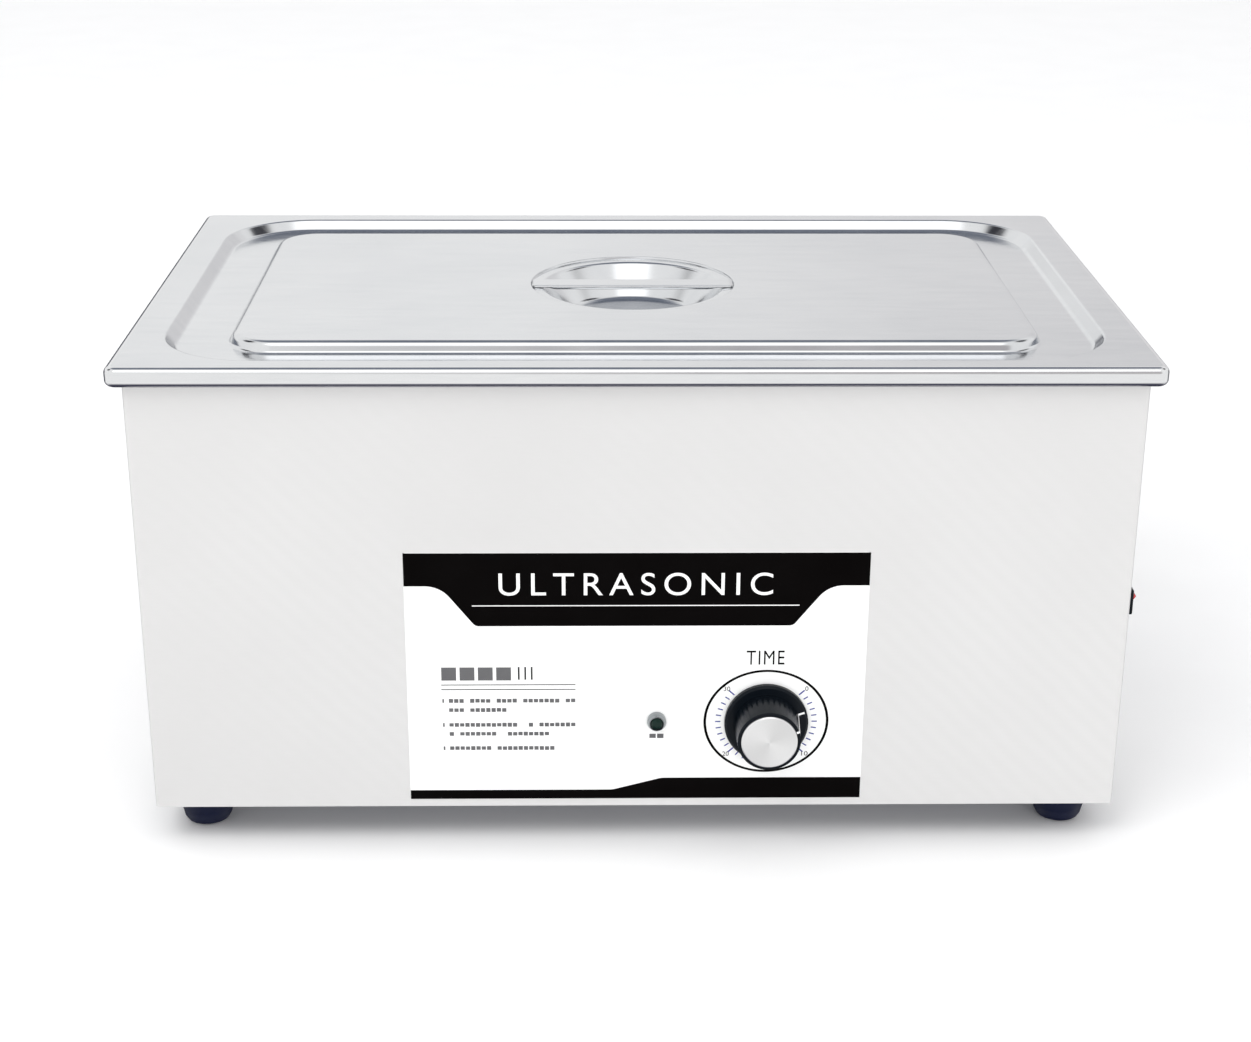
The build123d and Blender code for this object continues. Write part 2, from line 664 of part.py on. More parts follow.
with BuildPart() as lamp_nut:
    with Locations(Location((LAMP_X, INNER_FRONT + 3, LAMP_Z), TO_FRONT)):
        add(hex_nut(5.5, LAMP_TUBE_R + 0.05, 3))
save(lamp_nut, "lamp_nut")

# ---- power rocker ------------------------------------------------------------------------
RIGHT = CABINET_W / 2
ROCKER_POCKET = 4.3
with BuildPart() as switch_frame:
    with Locations((RIGHT, SWITCH_Y, SWITCH_Z)):
        Box(SWITCH_BEZEL_T, SWITCH_BEZEL_Y, SWITCH_BEZEL_Z, align=(Align.MIN, Align.CENTER, Align.CENTER))
    chamfer(switch_frame.faces().sort_by(Axis.X)[-1].edges(), 0.5)
    with Locations((RIGHT, SWITCH_Y, SWITCH_Z)):
        Box(SWITCH_BODY_DEPTH, SWITCH_BODY_Y, SWITCH_BODY_Z, align=(Align.MAX, Align.CENTER, Align.CENTER))
    with Locations((ROCKER_PIVOT_X - ROCKER_POCKET, SWITCH_Y, SWITCH_Z)):
        Box(
            12, ROCKER_W + 0.7, 2 * ROCKER_ARM + 2.6,
            align=(Align.MIN, Align.CENTER, Align.CENTER), mode=Mode.SUBTRACT,
        )
save(switch_frame, "switch_frame")

with BuildPart() as switch_rocker:
    with BuildSketch(Plane.XZ.offset(-SWITCH_Y)):
        with Locations((ROCKER_PIVOT_X, SWITCH_Z)):
            Polygon(
                (-2.6, -3.6), (1.2, -ROCKER_ARM), (3.7, -ROCKER_ARM), (4.2, -ROCKER_ARM + 0.7),
                (2.8, 0), (4.2, ROCKER_ARM - 0.7), (3.7, ROCKER_ARM), (1.2, ROCKER_ARM),
                (-2.6, 3.6), rotation=-ROCKER_TILT, align=None,
            )
    extrude(amount=ROCKER_W / 2, both=True)
save(switch_rocker, "switch_rocker")

with BuildPart() as switch_terminals:
    with Locations((RIGHT - SWITCH_BODY_DEPTH, SWITCH_Y, SWITCH_Z)):
        with Locations((0, 0, -4), (0, 0, 4)):
            Box(3.4, 4.8, 0.8, align=(Align.MAX, Align.CENTER, Align.CENTER))
save(switch_terminals, "switch_terminals")

# ---- fan -------------------------------------------------------------------------------------
FAN_MOUNT_T = 4.0
with BuildPart() as fan_frame:
    with Locations(Location((FAN_X, INNER_REAR, FAN_Z), TO_FRONT)):
        Box(FAN_SIZE, FAN_SIZE, FAN_DEPTH, align=UPWARD)
    fillet(fan_frame.edges().filter_by(Axis.Y), 4)
    with Locations(Location((FAN_X, INNER_REAR, FAN_Z), TO_FRONT)):
        Cylinder(FAN_BORE_R, 3 * FAN_DEPTH, mode=Mode.SUBTRACT)
        with GridLocations(FAN_PITCH, FAN_PITCH, 2, 2):
            Cylinder(1.9, 3 * FAN_DEPTH, mode=Mode.SUBTRACT)
        # Motor mount on four spokes at the intake side
        with Locations((0, 0, FAN_DEPTH)):
            Cylinder(FAN_HUB_R, FAN_MOUNT_T, align=DOWNWARD)
            with PolarLocations(FAN_HUB_R + 11, 4, start_angle=45):
                Box(24, 4, FAN_MOUNT_T, align=DOWNWARD)
save(fan_frame, "fan_frame")

ROTOR_BACK = FAN_DEPTH - FAN_MOUNT_T - 0.6
ROTOR_FRONT = 2.0
blade = Box(FAN_BLADE_R - FAN_HUB_R + 1.5, 1.8, 18, mode=Mode.PRIVATE)
with BuildPart(mode=Mode.PRIVATE) as rotor_form:
    with Locations((0, 0, ROTOR_FRONT)):
        Cylinder(FAN_HUB_R, ROTOR_BACK - ROTOR_FRONT, align=UPWARD)
    with PolarLocations((FAN_BLADE_R + FAN_HUB_R - 1.5) / 2, FAN_BLADES):
        with Locations(Location((0, 0, (ROTOR_BACK + ROTOR_FRONT) / 2), (40, 0, 0))):
            add(blade)
    chamfer(rotor_form.edges().filter_by(GeomType.CIRCLE).sort_by(Axis.Z)[0], 1.5)
rotor_limit = turned([
    (0, ROTOR_FRONT), (FAN_BLADE_R, ROTOR_FRONT), (FAN_BLADE_R, ROTOR_BACK), (0, ROTOR_BACK),
])
with BuildPart() as fan_rotor:
    with Locations(Location((FAN_X, INNER_REAR, FAN_Z), TO_FRONT)):
        add(rotor_form.part & rotor_limit)
save(fan_rotor, "fan_rotor")

GUARD_WIRE_R = 0.9
GUARD_RINGS = (10.0, 18.0, 26.0, 34.0, 40.0)
GUARD_LUG_R = FAN_PITCH / 2 * 2 ** 0.5
with BuildPart(mode=Mode.PRIVATE) as guard_form:
    for ring_r in GUARD_RINGS:
        Torus(ring_r, GUARD_WIRE_R)
    with Locations((0, 0, -GUARD_WIRE_R)):
        with Locations(Location((0, 0, 0), (0, 0, 45)), Location((0, 0, 0), (0, 0, 135))):
            Box(2 * GUARD_LUG_R - 6, 1.4, 1.2)
    with Locations((0, 0, -GUARD_WIRE_R)):
        with GridLocations(FAN_PITCH, FAN_PITCH, 2, 2):
            Cylinder(4.5, 1.2)
            Cylinder(2.1, 3, mode=Mode.SUBTRACT)
with BuildPart() as fan_guard:
    with Locations(Location((FAN_X, REAR + GUARD_WIRE_R + 0.6, FAN_Z), TO_REAR)):
        add(guard_form.part)
save(fan_guard, "fan_guard")

fan_screw = screw(3.6, 2.4, 1.8, 24)
with BuildPart() as fan_screws:
    with Locations(Location((FAN_X, REAR + 1.2, FAN_Z), TO_REAR)):
        with GridLocations(FAN_PITCH, FAN_PITCH, 2, 2):
            add(fan_screw)
save(fan_screws, "fan_screws")

# ---- mains inlet --------------------------------------------------------------------------
with BuildPart() as inlet_body:
    with Locations(Location((INLET_X, REAR, INLET_Z), TO_REAR)):
        Box(INLET_FLANGE_W, INLET_FLANGE_H, INLET_FLANGE_T, align=UPWARD)
    chamfer(inlet_body.faces().sort_by(Axis.Y)[-1].edges(), 0.8)
    with Locations((INLET_X, REAR, INLET_Z)):
        Box(INLET_BODY_W, INLET_BODY_DEPTH, INLET_BODY_H, align=(Align.CENTER, Align.MAX, Align.CENTER))
    with Locations((INLET_X, REAR + INLET_FLANGE_T, SOCKET_Z)):
        Box(
            SOCKET_W, SOCKET_DEPTH, SOCKET_H,
            align=(Align.CENTER, Align.MAX, Align.CENTER), mode=Mode.SUBTRACT,
        )
    with Locations((INLET_X, REAR + INLET_FLANGE_T, DRAWER_Z)):
        Box(
            DRAWER_W + 2 * DRAWER_GAP, INLET_BODY_DEPTH, DRAWER_H + 2 * DRAWER_GAP,
            align=(Align.CENTER, Align.MAX, Align.CENTER), mode=Mode.SUBTRACT,
        )
    with Locations(Location((INLET_X, REAR, INLET_Z), TO_REAR)):
        with GridLocations(2 * INLET_SCREW_X, 0, 2, 1):
            Cylinder(1.7, 4 * INLET_FLANGE_T, mode=Mode.SUBTRACT)
save(inlet_body, "inlet_body")

PIN_BASE_Y = REAR + INLET_FLANGE_T - SOCKET_DEPTH
PIN_LENGTH = 15.0
PIN_Z = SOCKET_Z + 3.5
with BuildPart() as inlet_pins:
    with Locations(*[(INLET_X + x, PIN_BASE_Y, PIN_Z) for x in (-7, 0, 7)]):
        Box(2, PIN_LENGTH, 4, align=(Align.CENTER, Align.MIN, Align.CENTER))
save(inlet_pins, "inlet_pins")

inlet_screw = screw(2.9, 1.9, 1.5, 8)
with BuildPart() as inlet_screws:
    with Locations(Location((INLET_X, REAR + INLET_FLANGE_T, INLET_Z), TO_REAR)):
        with GridLocations(2 * INLET_SCREW_X, 0, 2, 1):
            add(inlet_screw)
save(inlet_screws, "inlet_screws")

DRAWER_FRONT_Y = REAR + INLET_FLANGE_T + DRAWER_GAP
FUSE_R = 2.6
FUSE_LENGTH = 20.0
with BuildPart() as fuse_drawer:
    with Locations((INLET_X, DRAWER_FRONT_Y, DRAWER_Z)):
        Box(DRAWER_W + 3, 1.8, DRAWER_H + 1.6, align=(Align.CENTER, Align.MIN, Align.CENTER))
        Box(DRAWER_W, INLET_BODY_DEPTH - 3, DRAWER_H, align=(Align.CENTER, Align.MAX, Align.CENTER))
    with Locations((INLET_X, DRAWER_FRONT_Y - 2, DRAWER_Z - 0.3)):
        Box(8, FUSE_LENGTH + 0.6, 8, align=(Align.CENTER, Align.MAX, Align.MIN), mode=Mode.SUBTRACT)
        with Locations(Location((0, 0, 0), TO_FRONT)):
            Cylinder(FUSE_R + 0.1, FUSE_LENGTH + 0.6, align=UPWARD, mode=Mode.SUBTRACT)
save(fuse_drawer, "fuse_drawer")

with BuildPart() as fuse:
    with Locations(Location((INLET_X, DRAWER_FRONT_Y - 2.3, DRAWER_Z - 0.3), TO_FRONT)):
        Cylinder(FUSE_R, FUSE_LENGTH, align=UPWARD)
        with Locations((0, 0, 5)):
            add(turned([(FUSE_R - 0.3, 0), (4, 0), (4, 10), (FUSE_R - 0.3, 10)]), mode=Mode.SUBTRACT)
save(fuse, "fuse")

# ---- transducers -------------------------------------------------------------------------
# Each stack hangs under the tank floor: cone, two ceramic rings with tab electrodes,
# steel counter-mass and a bolt up through the middle.
stack_spots = [(x, y) for x in TRANSDUCER_X for y in TRANSDUCER_Y]
FRONT_MASS_LOW = TANK_UNDER - FRONT_MASS_H
UPPER_CERAMIC = FRONT_MASS_LOW - CERAMIC_H
LOWER_CERAMIC = UPPER_CERAMIC - ELECTRODE_H - CERAMIC_H
BACK_MASS_LOW = LOWER_CERAMIC - ELECTRODE_H - BACK_MASS_H
front_mass = turned([
    (STACK_BORE_R, FRONT_MASS_LOW), (STACK_R, FRONT_MASS_LOW), (STACK_R, FRONT_MASS_LOW + 3),
    (FRONT_MASS_R, TANK_UNDER - 5), (FRONT_MASS_R, TANK_UNDER), (STACK_BORE_R, TANK_UNDER),
])
ceramic_pair = turned([
    (STACK_BORE_R, UPPER_CERAMIC), (STACK_R, UPPER_CERAMIC), (STACK_R, FRONT_MASS_LOW),
    (STACK_BORE_R, FRONT_MASS_LOW),
]) + turned([
    (STACK_BORE_R, LOWER_CERAMIC), (STACK_R, LOWER_CERAMIC), (STACK_R, LOWER_CERAMIC + CERAMIC_H),
    (STACK_BORE_R, LOWER_CERAMIC + CERAMIC_H),
])
back_mass = turned([
    (STACK_BORE_R, BACK_MASS_LOW), (STACK_R - 1.5, BACK_MASS_LOW), (STACK_R, BACK_MASS_LOW + 1.5),
    (STACK_R, LOWER_CERAMIC - ELECTRODE_H), (STACK_BORE_R, LOWER_CERAMIC - ELECTRODE_H),
])
with BuildPart(mode=Mode.PRIVATE) as electrode_pair:
    for level in (UPPER_CERAMIC - ELECTRODE_H, LOWER_CERAMIC - ELECTRODE_H):
        with BuildSketch(Plane.XY.offset(level)):
            Circle(STACK_R)
            with Locations((STACK_R + 4, 0)):
                Rectangle(12, 6)
            Circle(STACK_BORE_R, mode=Mode.SUBTRACT)
        extrude(amount=ELECTRODE_H)
BOLT_HEAD_H = 5.0
with BuildPart(mode=Mode.PRIVATE) as stack_bolt:
    with BuildSketch(Plane.XY.offset(BACK_MASS_LOW - BOLT_HEAD_H)):
        RegularPolygon(8, 6, major_radius=False)
    extrude(amount=BOLT_HEAD_H)
    with BuildSketch(Plane.XY.offset(BACK_MASS_LOW)):
        Circle(STACK_BOLT_R)
    extrude(amount=TANK_UNDER - BACK_MASS_LOW)
stack_pieces = {
    "transducer_front_masses": front_mass, "transducer_ceramics": ceramic_pair,
    "transducer_electrodes": electrode_pair.part, "transducer_back_masses": back_mass,
    "transducer_bolts": stack_bolt.part,
}
for stack_name, stack_piece in stack_pieces.items():
    with BuildPart() as stack_group:
        with Locations(*stack_spots):
            add(stack_piece)
    save(stack_group, stack_name)

# ---- generator ------------------------------------------------------------------------------
board_corners = [
    (BOARD_X + sx * STANDOFF_X, BOARD_Y + sy * STANDOFF_Y) for sx in (-1, 1) for sy in (-1, 1)
]
with BuildPart() as generator_board:
    with BuildSketch(Plane.XY.offset(BOARD_Z)):
        with Locations((BOARD_X, BOARD_Y)):
            RectangleRounded(BOARD_W, BOARD_D, 2)
        with Locations(*board_corners):
            Circle(1.7, mode=Mode.SUBTRACT)
    extrude(amount=BOARD_T)
save(generator_board, "generator_board")

with BuildPart() as board_standoffs:
    with BuildSketch(Plane.XY.offset(PLATE_TOP)):
        with Locations(*board_corners):
            Circle(STANDOFF_R)
    extrude(amount=BOARD_Z - PLATE_TOP)
    with BuildSketch(Plane.XY.offset(BOARD_Z)):
        with Locations(*board_corners):
            Circle(1.5)
    extrude(amount=BOARD_T + 2)
    with BuildSketch(Plane.XY.offset(PLATE_TOP)):
        with Locations(*board_corners):
            Circle(1.5)
    extrude(amount=-SHEET)
save(board_standoffs, "board_standoffs")

SINK_X = BOARD_X - 50.0
SINK_W = 60.0
SINK_FINS = 9
SINK_H = 24.0
with BuildPart() as heat_sink:
    with BuildSketch(Plane.XZ.offset(-(BOARD_Y - 45))):
        with Locations((SINK_X, BOARD_TOP)):
            Rectangle(SINK_W, 4, align=(Align.CENTER, Align.MIN))
            with GridLocations(SINK_W / SINK_FINS, 0, SINK_FINS, 1):
                Rectangle(2, SINK_H, align=(Align.CENTER, Align.MIN))
    extrude(amount=-90)
save(heat_sink, "heat_sink")

with BuildPart() as power_transistors:
    with Locations((SINK_X + SINK_W / 2 + 2.5, BOARD_Y, BOARD_TOP)):
        with GridLocations(0, 22, 1, 4):
            Box(4.8, 15, 20, align=UPWARD)
save(power_transistors, "power_transistors")

TRANSFORMER_X = BOARD_X + 32.0
TRANSFORMER_Y = BOARD_Y + 26.0
with BuildPart() as transformer_core:
    with BuildSketch(Plane.XZ.offset(-(TRANSFORMER_Y - 10))):
        with Locations((TRANSFORMER_X, BOARD_TOP)):
            Rectangle(42, 28, align=(Align.CENTER, Align.MIN))
        with Locations((TRANSFORMER_X - 11.5, BOARD_TOP + 14), (TRANSFORMER_X + 11.5, BOARD_TOP + 14)):
            Rectangle(9, 17, mode=Mode.SUBTRACT)
    extrude(amount=-20)
save(transformer_core, "transformer_core")

with BuildPart() as transformer_winding:
    with BuildSketch(Plane.XY.offset(BOARD_TOP + 6.2)):
        with Locations((TRANSFORMER_X, TRANSFORMER_Y)):
            RectangleRounded(30, 36, 5)
            Rectangle(14.2, 20.4, mode=Mode.SUBTRACT)
    extrude(amount=15.6)
save(transformer_winding, "transformer_winding")

with BuildPart() as capacitors:
    with Locations((BOARD_X + 14, BOARD_Y - 30, BOARD_TOP), (BOARD_X + 40, BOARD_Y - 30, BOARD_TOP)):
        Cylinder(11, 27, align=UPWARD)
    with Locations((BOARD_X + 70, BOARD_Y - 32, BOARD_TOP)):
        with GridLocations(0, 14, 1, 2):
            Box(20, 9, 17, align=UPWARD)
save(capacitors, "capacitors")

with BuildPart() as tuning_inductor:
    with Locations((BOARD_X + 71.5, BOARD_Y + 18, BOARD_TOP + 7)):
        Torus(11, 7)
save(tuning_inductor, "tuning_inductor")

# ---- wiring ---------------------------------------------------------------------------------
HARNESS_R = 3.0
HARNESS_Z = 58.0
harness_trunk = wire_run([
    (BOARD_X + 90, BOARD_Y + 10, BOARD_TOP + 5), (BOARD_X + 104, BOARD_Y + 10, BOARD_TOP + 5),
    (BOARD_X + 104, 0, HARNESS_Z), (190, 0, HARNESS_Z),
], HARNESS_R, 4)
with BuildPart() as transducer_harness:
    add(harness_trunk)
save(transducer_harness, "transducer_harness")

mains_route = wire_run([
    (INLET_X + 6, REAR - INLET_BODY_DEPTH, INLET_Z - 2), (INLET_X + 6, 112, INLET_Z - 2),
    (INLET_X + 50, 106, 38), (INLET_X + 50, 60, 30), (INLET_X + 50, -60, 30),
    (INLET_X + 50, -98, 36), (KNOB_X - 12, -100, KNOB_Z),
    (KNOB_X - 12, INNER_FRONT + TIMER_DEPTH + 8.5, KNOB_Z),
], 2.4, 6)
with BuildPart() as mains_harness:
    add(mains_route)
save(mains_harness, "mains_harness")

# ---- lid -----------------------------------------------------------------------------------------
# Pressed pan lid: flat rim with a hemmed edge, recess all round, plateau level with the rim
# and a round handle pocket.
HEM_INNER_CORNER = 2.0


def lid_surface(drop, grow):
    """Everything below the lid's skin; drop lowers it and grow widens its hollows."""
    rim = LID_RIM_TOP - drop
    recess_floor = rim - RECESS_DEPTH
    plateau = recess_floor + PLATEAU_RISE
    recess = tapered_slab(
        (RECESS_W - 2 * RECESS_RUN + grow, RECESS_D - 2 * RECESS_RUN + grow, RECESS_CORNER - RECESS_RUN),
        recess_floor,
        (RECESS_W + grow, RECESS_D + grow, RECESS_CORNER), rim,
    )
    rise = tapered_slab(
        (PLATEAU_W - grow, PLATEAU_D - grow, PLATEAU_CORNER), recess_floor,
        (
            PLATEAU_W - 2 * PLATEAU_RUN - grow, PLATEAU_D - 2 * PLATEAU_RUN - grow,
            PLATEAU_CORNER - PLATEAU_RUN,
        ),
        plateau,
    )
    half = grow / 2
    pocket = turned([
        (0, plateau - POCKET_DEPTH), (POCKET_FLOOR_R + half, plateau - POCKET_DEPTH),
        (POCKET_SHOULDER_R + half, plateau - STRAP_T - 1.0), (POCKET_SHOULDER_R + half, plateau - STRAP_T),
        (POCKET_R + half, plateau - STRAP_T), (POCKET_R + half, plateau + 1), (0, plateau + 1),
    ])
    block = slab(LID_W - 2 * HEM_ROUND, LID_D - 2 * HEM_ROUND, HEM_INNER_CORNER, PLATEAU_TOP - 40, rim)
    return block - recess + rise - pocket


def hem_ring(inset):
    """Hollow hem under the rim's edge; inset takes off a skin all round."""
    outer = slab(
        LID_W - 2 * inset, LID_D - 2 * inset, LID_CORNER - inset, HEM_LOW + inset, LID_RIM_TOP - inset
    )
    inner = slab(
        LID_W - 2 * HEM_W + 2 * inset, LID_D - 2 * HEM_W + 2 * inset, HEM_INNER_CORNER,
        HEM_LOW - 1, LID_RIM_TOP + 1,
    )
    ends = outer.faces().sort_by(Axis.Z)
    rolled = fillet(ends[0].edges() + ends[-1].edges(), HEM_ROUND - inset)
    return rolled - inner


lid_hem = hem_ring(0) - hem_ring(LID_SHEET)
lid_under = slab(LID_W, LID_D, LID_CORNER, PLATEAU_TOP - 50, PLATEAU_TOP - POCKET_DEPTH - LID_SHEET)
with BuildPart() as lid_cover:
    add(lid_surface(0, 0) - lid_surface(LID_SHEET, 2 * LID_SHEET))
    add(lid_under, mode=Mode.SUBTRACT)
    add(lid_hem)
save(lid_cover, "lid_cover")

# Strap handle let in level with the plateau; both its long edges are turned down.
strap_blank = Pos(0, 0, PLATEAU_TOP) * Box(
    2 * POCKET_R, STRAP_W, STRAP_T, align=DOWNWARD
)
strap_limit = turned([
    (0, PLATEAU_TOP - 10), (POCKET_R - 0.2, PLATEAU_TOP - 10), (POCKET_R - 0.2, PLATEAU_TOP),
    (0, PLATEAU_TOP),
])
with BuildPart() as lid_handle:
    add(strap_blank & strap_limit)
    for side in (-1, 1):
        with Locations((0, side * (STRAP_W - STRAP_T) / 2, PLATEAU_TOP - STRAP_T)):
            Box(2 * POCKET_SHOULDER_R - 6, STRAP_T, STRAP_LIP, align=DOWNWARD)
    fillet(lid_handle.edges().filter_by(Axis.X).sort_by(Axis.Z)[-2:], 0.8)
save(lid_handle, "lid_handle")
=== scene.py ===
"""Looks of the benchtop ultrasonic cleaner: lid pressing, printed panel, materials, light and camera."""
import json
import math
import random

import bmesh
import bpy
from mathutils import Matrix, Vector


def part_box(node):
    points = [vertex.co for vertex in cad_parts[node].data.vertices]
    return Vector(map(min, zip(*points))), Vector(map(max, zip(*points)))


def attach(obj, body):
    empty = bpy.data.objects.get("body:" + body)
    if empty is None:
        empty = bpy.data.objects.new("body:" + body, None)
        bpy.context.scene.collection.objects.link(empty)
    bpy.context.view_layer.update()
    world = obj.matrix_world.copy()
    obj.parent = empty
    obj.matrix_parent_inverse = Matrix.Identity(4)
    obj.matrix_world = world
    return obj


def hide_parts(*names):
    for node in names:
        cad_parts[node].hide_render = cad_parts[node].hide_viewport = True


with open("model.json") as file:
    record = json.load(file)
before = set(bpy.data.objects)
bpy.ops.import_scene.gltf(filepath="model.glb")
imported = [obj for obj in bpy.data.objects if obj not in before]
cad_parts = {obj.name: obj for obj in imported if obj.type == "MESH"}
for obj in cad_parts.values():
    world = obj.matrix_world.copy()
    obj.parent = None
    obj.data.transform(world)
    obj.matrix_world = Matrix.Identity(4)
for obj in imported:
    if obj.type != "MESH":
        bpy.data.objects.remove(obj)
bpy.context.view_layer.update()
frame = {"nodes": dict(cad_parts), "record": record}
nodes = frame["nodes"]
MM = 0.001
random.seed(7)


# ---- small helpers -------------------------------------------------------------------------
def mesh_piece(name, verts, faces, body, material, smooth=True):
    """New mesh object that rides on a body and takes the material it is given."""
    mesh = bpy.data.meshes.new(name)
    mesh.from_pydata([tuple(v) for v in verts], [], faces)
    mesh.validate()
    piece = bpy.data.objects.new(name, mesh)
    bpy.context.scene.collection.objects.link(piece)
    for polygon in mesh.polygons:
        polygon.use_smooth = smooth
    mesh.materials.append(material)
    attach(piece, body)
    return piece


def fix_normals(piece):
    bm = bmesh.new()
    bm.from_mesh(piece.data)
    bmesh.ops.remove_doubles(bm, verts=bm.verts, dist=1e-7)
    bmesh.ops.recalc_face_normals(bm, faces=bm.faces)
    bm.to_mesh(piece.data)
    bm.free()


def weighted_normals(piece):
    modifier = piece.modifiers.new("flats stay flat", "WEIGHTED_NORMAL")
    modifier.weight = 80
    modifier.keep_sharp = True


def centre(node):
    low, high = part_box(node)
    return (Vector(low) + Vector(high)) / 2


# ---- materials -------------------------------------------------------------------------------
def new_material(name, colour, metallic=0.0, roughness=0.5):
    """A Principled material with its shader and output only."""
    material = bpy.data.materials.new(name)
    material.use_nodes = True
    tree = material.node_tree
    shader = tree.nodes["Principled BSDF"]
    shader.inputs["Base Color"].default_value = (*colour, 1.0)
    shader.inputs["Metallic"].default_value = metallic
    shader.inputs["Roughness"].default_value = roughness
    return material, tree, shader


def object_coords(tree, scale=(1, 1, 1)):
    """Object coordinates in metres, stretched for grain."""
    coords = tree.nodes.new("ShaderNodeTexCoord")
    mapping = tree.nodes.new("ShaderNodeMapping")
    mapping.inputs["Scale"].default_value = scale
    tree.links.new(coords.outputs["Object"], mapping.inputs["Vector"])
    return mapping.outputs["Vector"]


def noise(tree, vector, scale, detail=2.0, rough=0.5):
    texture = tree.nodes.new("ShaderNodeTexNoise")
    texture.inputs["Scale"].default_value = scale
    texture.inputs["Detail"].default_value = detail
    texture.inputs["Roughness"].default_value = rough
    tree.links.new(vector, texture.inputs["Vector"])
    return texture.outputs["Fac"]


def spread(tree, value, low, high, from_low=0.3, from_high=0.7):
    """Maps a noise value to a range, for roughness and masks."""
    node = tree.nodes.new("ShaderNodeMapRange")
    node.inputs["From Min"].default_value = from_low
    node.inputs["From Max"].default_value = from_high
    node.inputs["To Min"].default_value = low
    node.inputs["To Max"].default_value = high
    tree.links.new(value, node.inputs["Value"])
    return node.outputs["Result"]


def blend_colours(tree, factor, first, second):
    node = tree.nodes.new("ShaderNodeMix")
    node.data_type = "RGBA"
    node.inputs[6].default_value = (*first, 1.0)
    node.inputs[7].default_value = (*second, 1.0)
    tree.links.new(factor, node.inputs["Factor"])
    return node.outputs[2]


def bump(tree, shader, height, strength, distance):
    node = tree.nodes.new("ShaderNodeBump")
    node.inputs["Strength"].default_value = strength
    node.inputs["Distance"].default_value = distance
    tree.links.new(height, node.inputs["Height"])
    previous = shader.inputs["Normal"].links
    if previous:
        tree.links.new(previous[0].from_socket, node.inputs["Normal"])
    tree.links.new(node.outputs["Normal"], shader.inputs["Normal"])


def metal(name, colour, dark, roughness, grain, grain_scale, grain_bump, cloud_scale=6.0, wave=0.0):
    """Sheet metal: stretched grain, cloudy tone and uneven polish."""
    material, tree, shader = new_material(name, colour, 1.0, roughness[0])
    lines = noise(tree, object_coords(tree, grain), grain_scale, 3.0, 0.6)
    cloud = noise(tree, object_coords(tree), cloud_scale, 4.0, 0.6)
    tone = tree.nodes.new("ShaderNodeMath")
    tone.operation = "MULTIPLY_ADD"
    tone.inputs[1].default_value = 0.5
    tree.links.new(lines, tone.inputs[0])
    half_cloud = tree.nodes.new("ShaderNodeMath")
    half_cloud.operation = "MULTIPLY"
    half_cloud.inputs[1].default_value = 0.5
    tree.links.new(cloud, half_cloud.inputs[0])
    tree.links.new(half_cloud.outputs[0], tone.inputs[2])
    tone_mask = spread(tree, tone.outputs[0], 0.0, 1.0)
    tree.links.new(blend_colours(tree, tone_mask, dark, colour), shader.inputs["Base Color"])
    tree.links.new(spread(tree, lines, roughness[0], roughness[1]), shader.inputs["Roughness"])
    if wave:
        bump(tree, shader, noise(tree, object_coords(tree), 9.0, 1.0), 1.0, wave)
    bump(tree, shader, lines, grain_bump, 0.0002)
    return material


def plastic(name, colour, roughness, speck=0.03, bump_strength=0.15, scale=900.0, coat=0.0, specular=0.5):
    """Moulded plastic or rubber with a fine mould texture and slight tone variation."""
    material, tree, shader = new_material(name, colour, 0.0, roughness)
    grain = noise(tree, object_coords(tree), scale, 2.0)
    cloud = noise(tree, object_coords(tree), 40.0, 3.0)
    light = tuple(min(1.0, c + speck) for c in colour)
    tone = blend_colours(tree, spread(tree, cloud, 0.0, 1.0), colour, light)
    tree.links.new(tone, shader.inputs["Base Color"])
    tree.links.new(spread(tree, cloud, roughness * 0.85, roughness * 1.15), shader.inputs["Roughness"])
    shader.inputs["Coat Weight"].default_value = coat
    shader.inputs["Specular IOR Level"].default_value = specular
    bump(tree, shader, grain, bump_strength, 0.0001)
    return material


def ceramic_like(name, colour, dark, roughness, scale):
    """Speckled matt body for fired ceramic and ferrite."""
    material, tree, shader = new_material(name, colour, 0.0, roughness)
    specks = noise(tree, object_coords(tree), scale, 5.0, 0.7)
    tone = blend_colours(tree, spread(tree, specks, 0.0, 1.0), dark, colour)
    tree.links.new(tone, shader.inputs["Base Color"])
    bump(tree, shader, specks, 0.2, 0.0001)
    return material


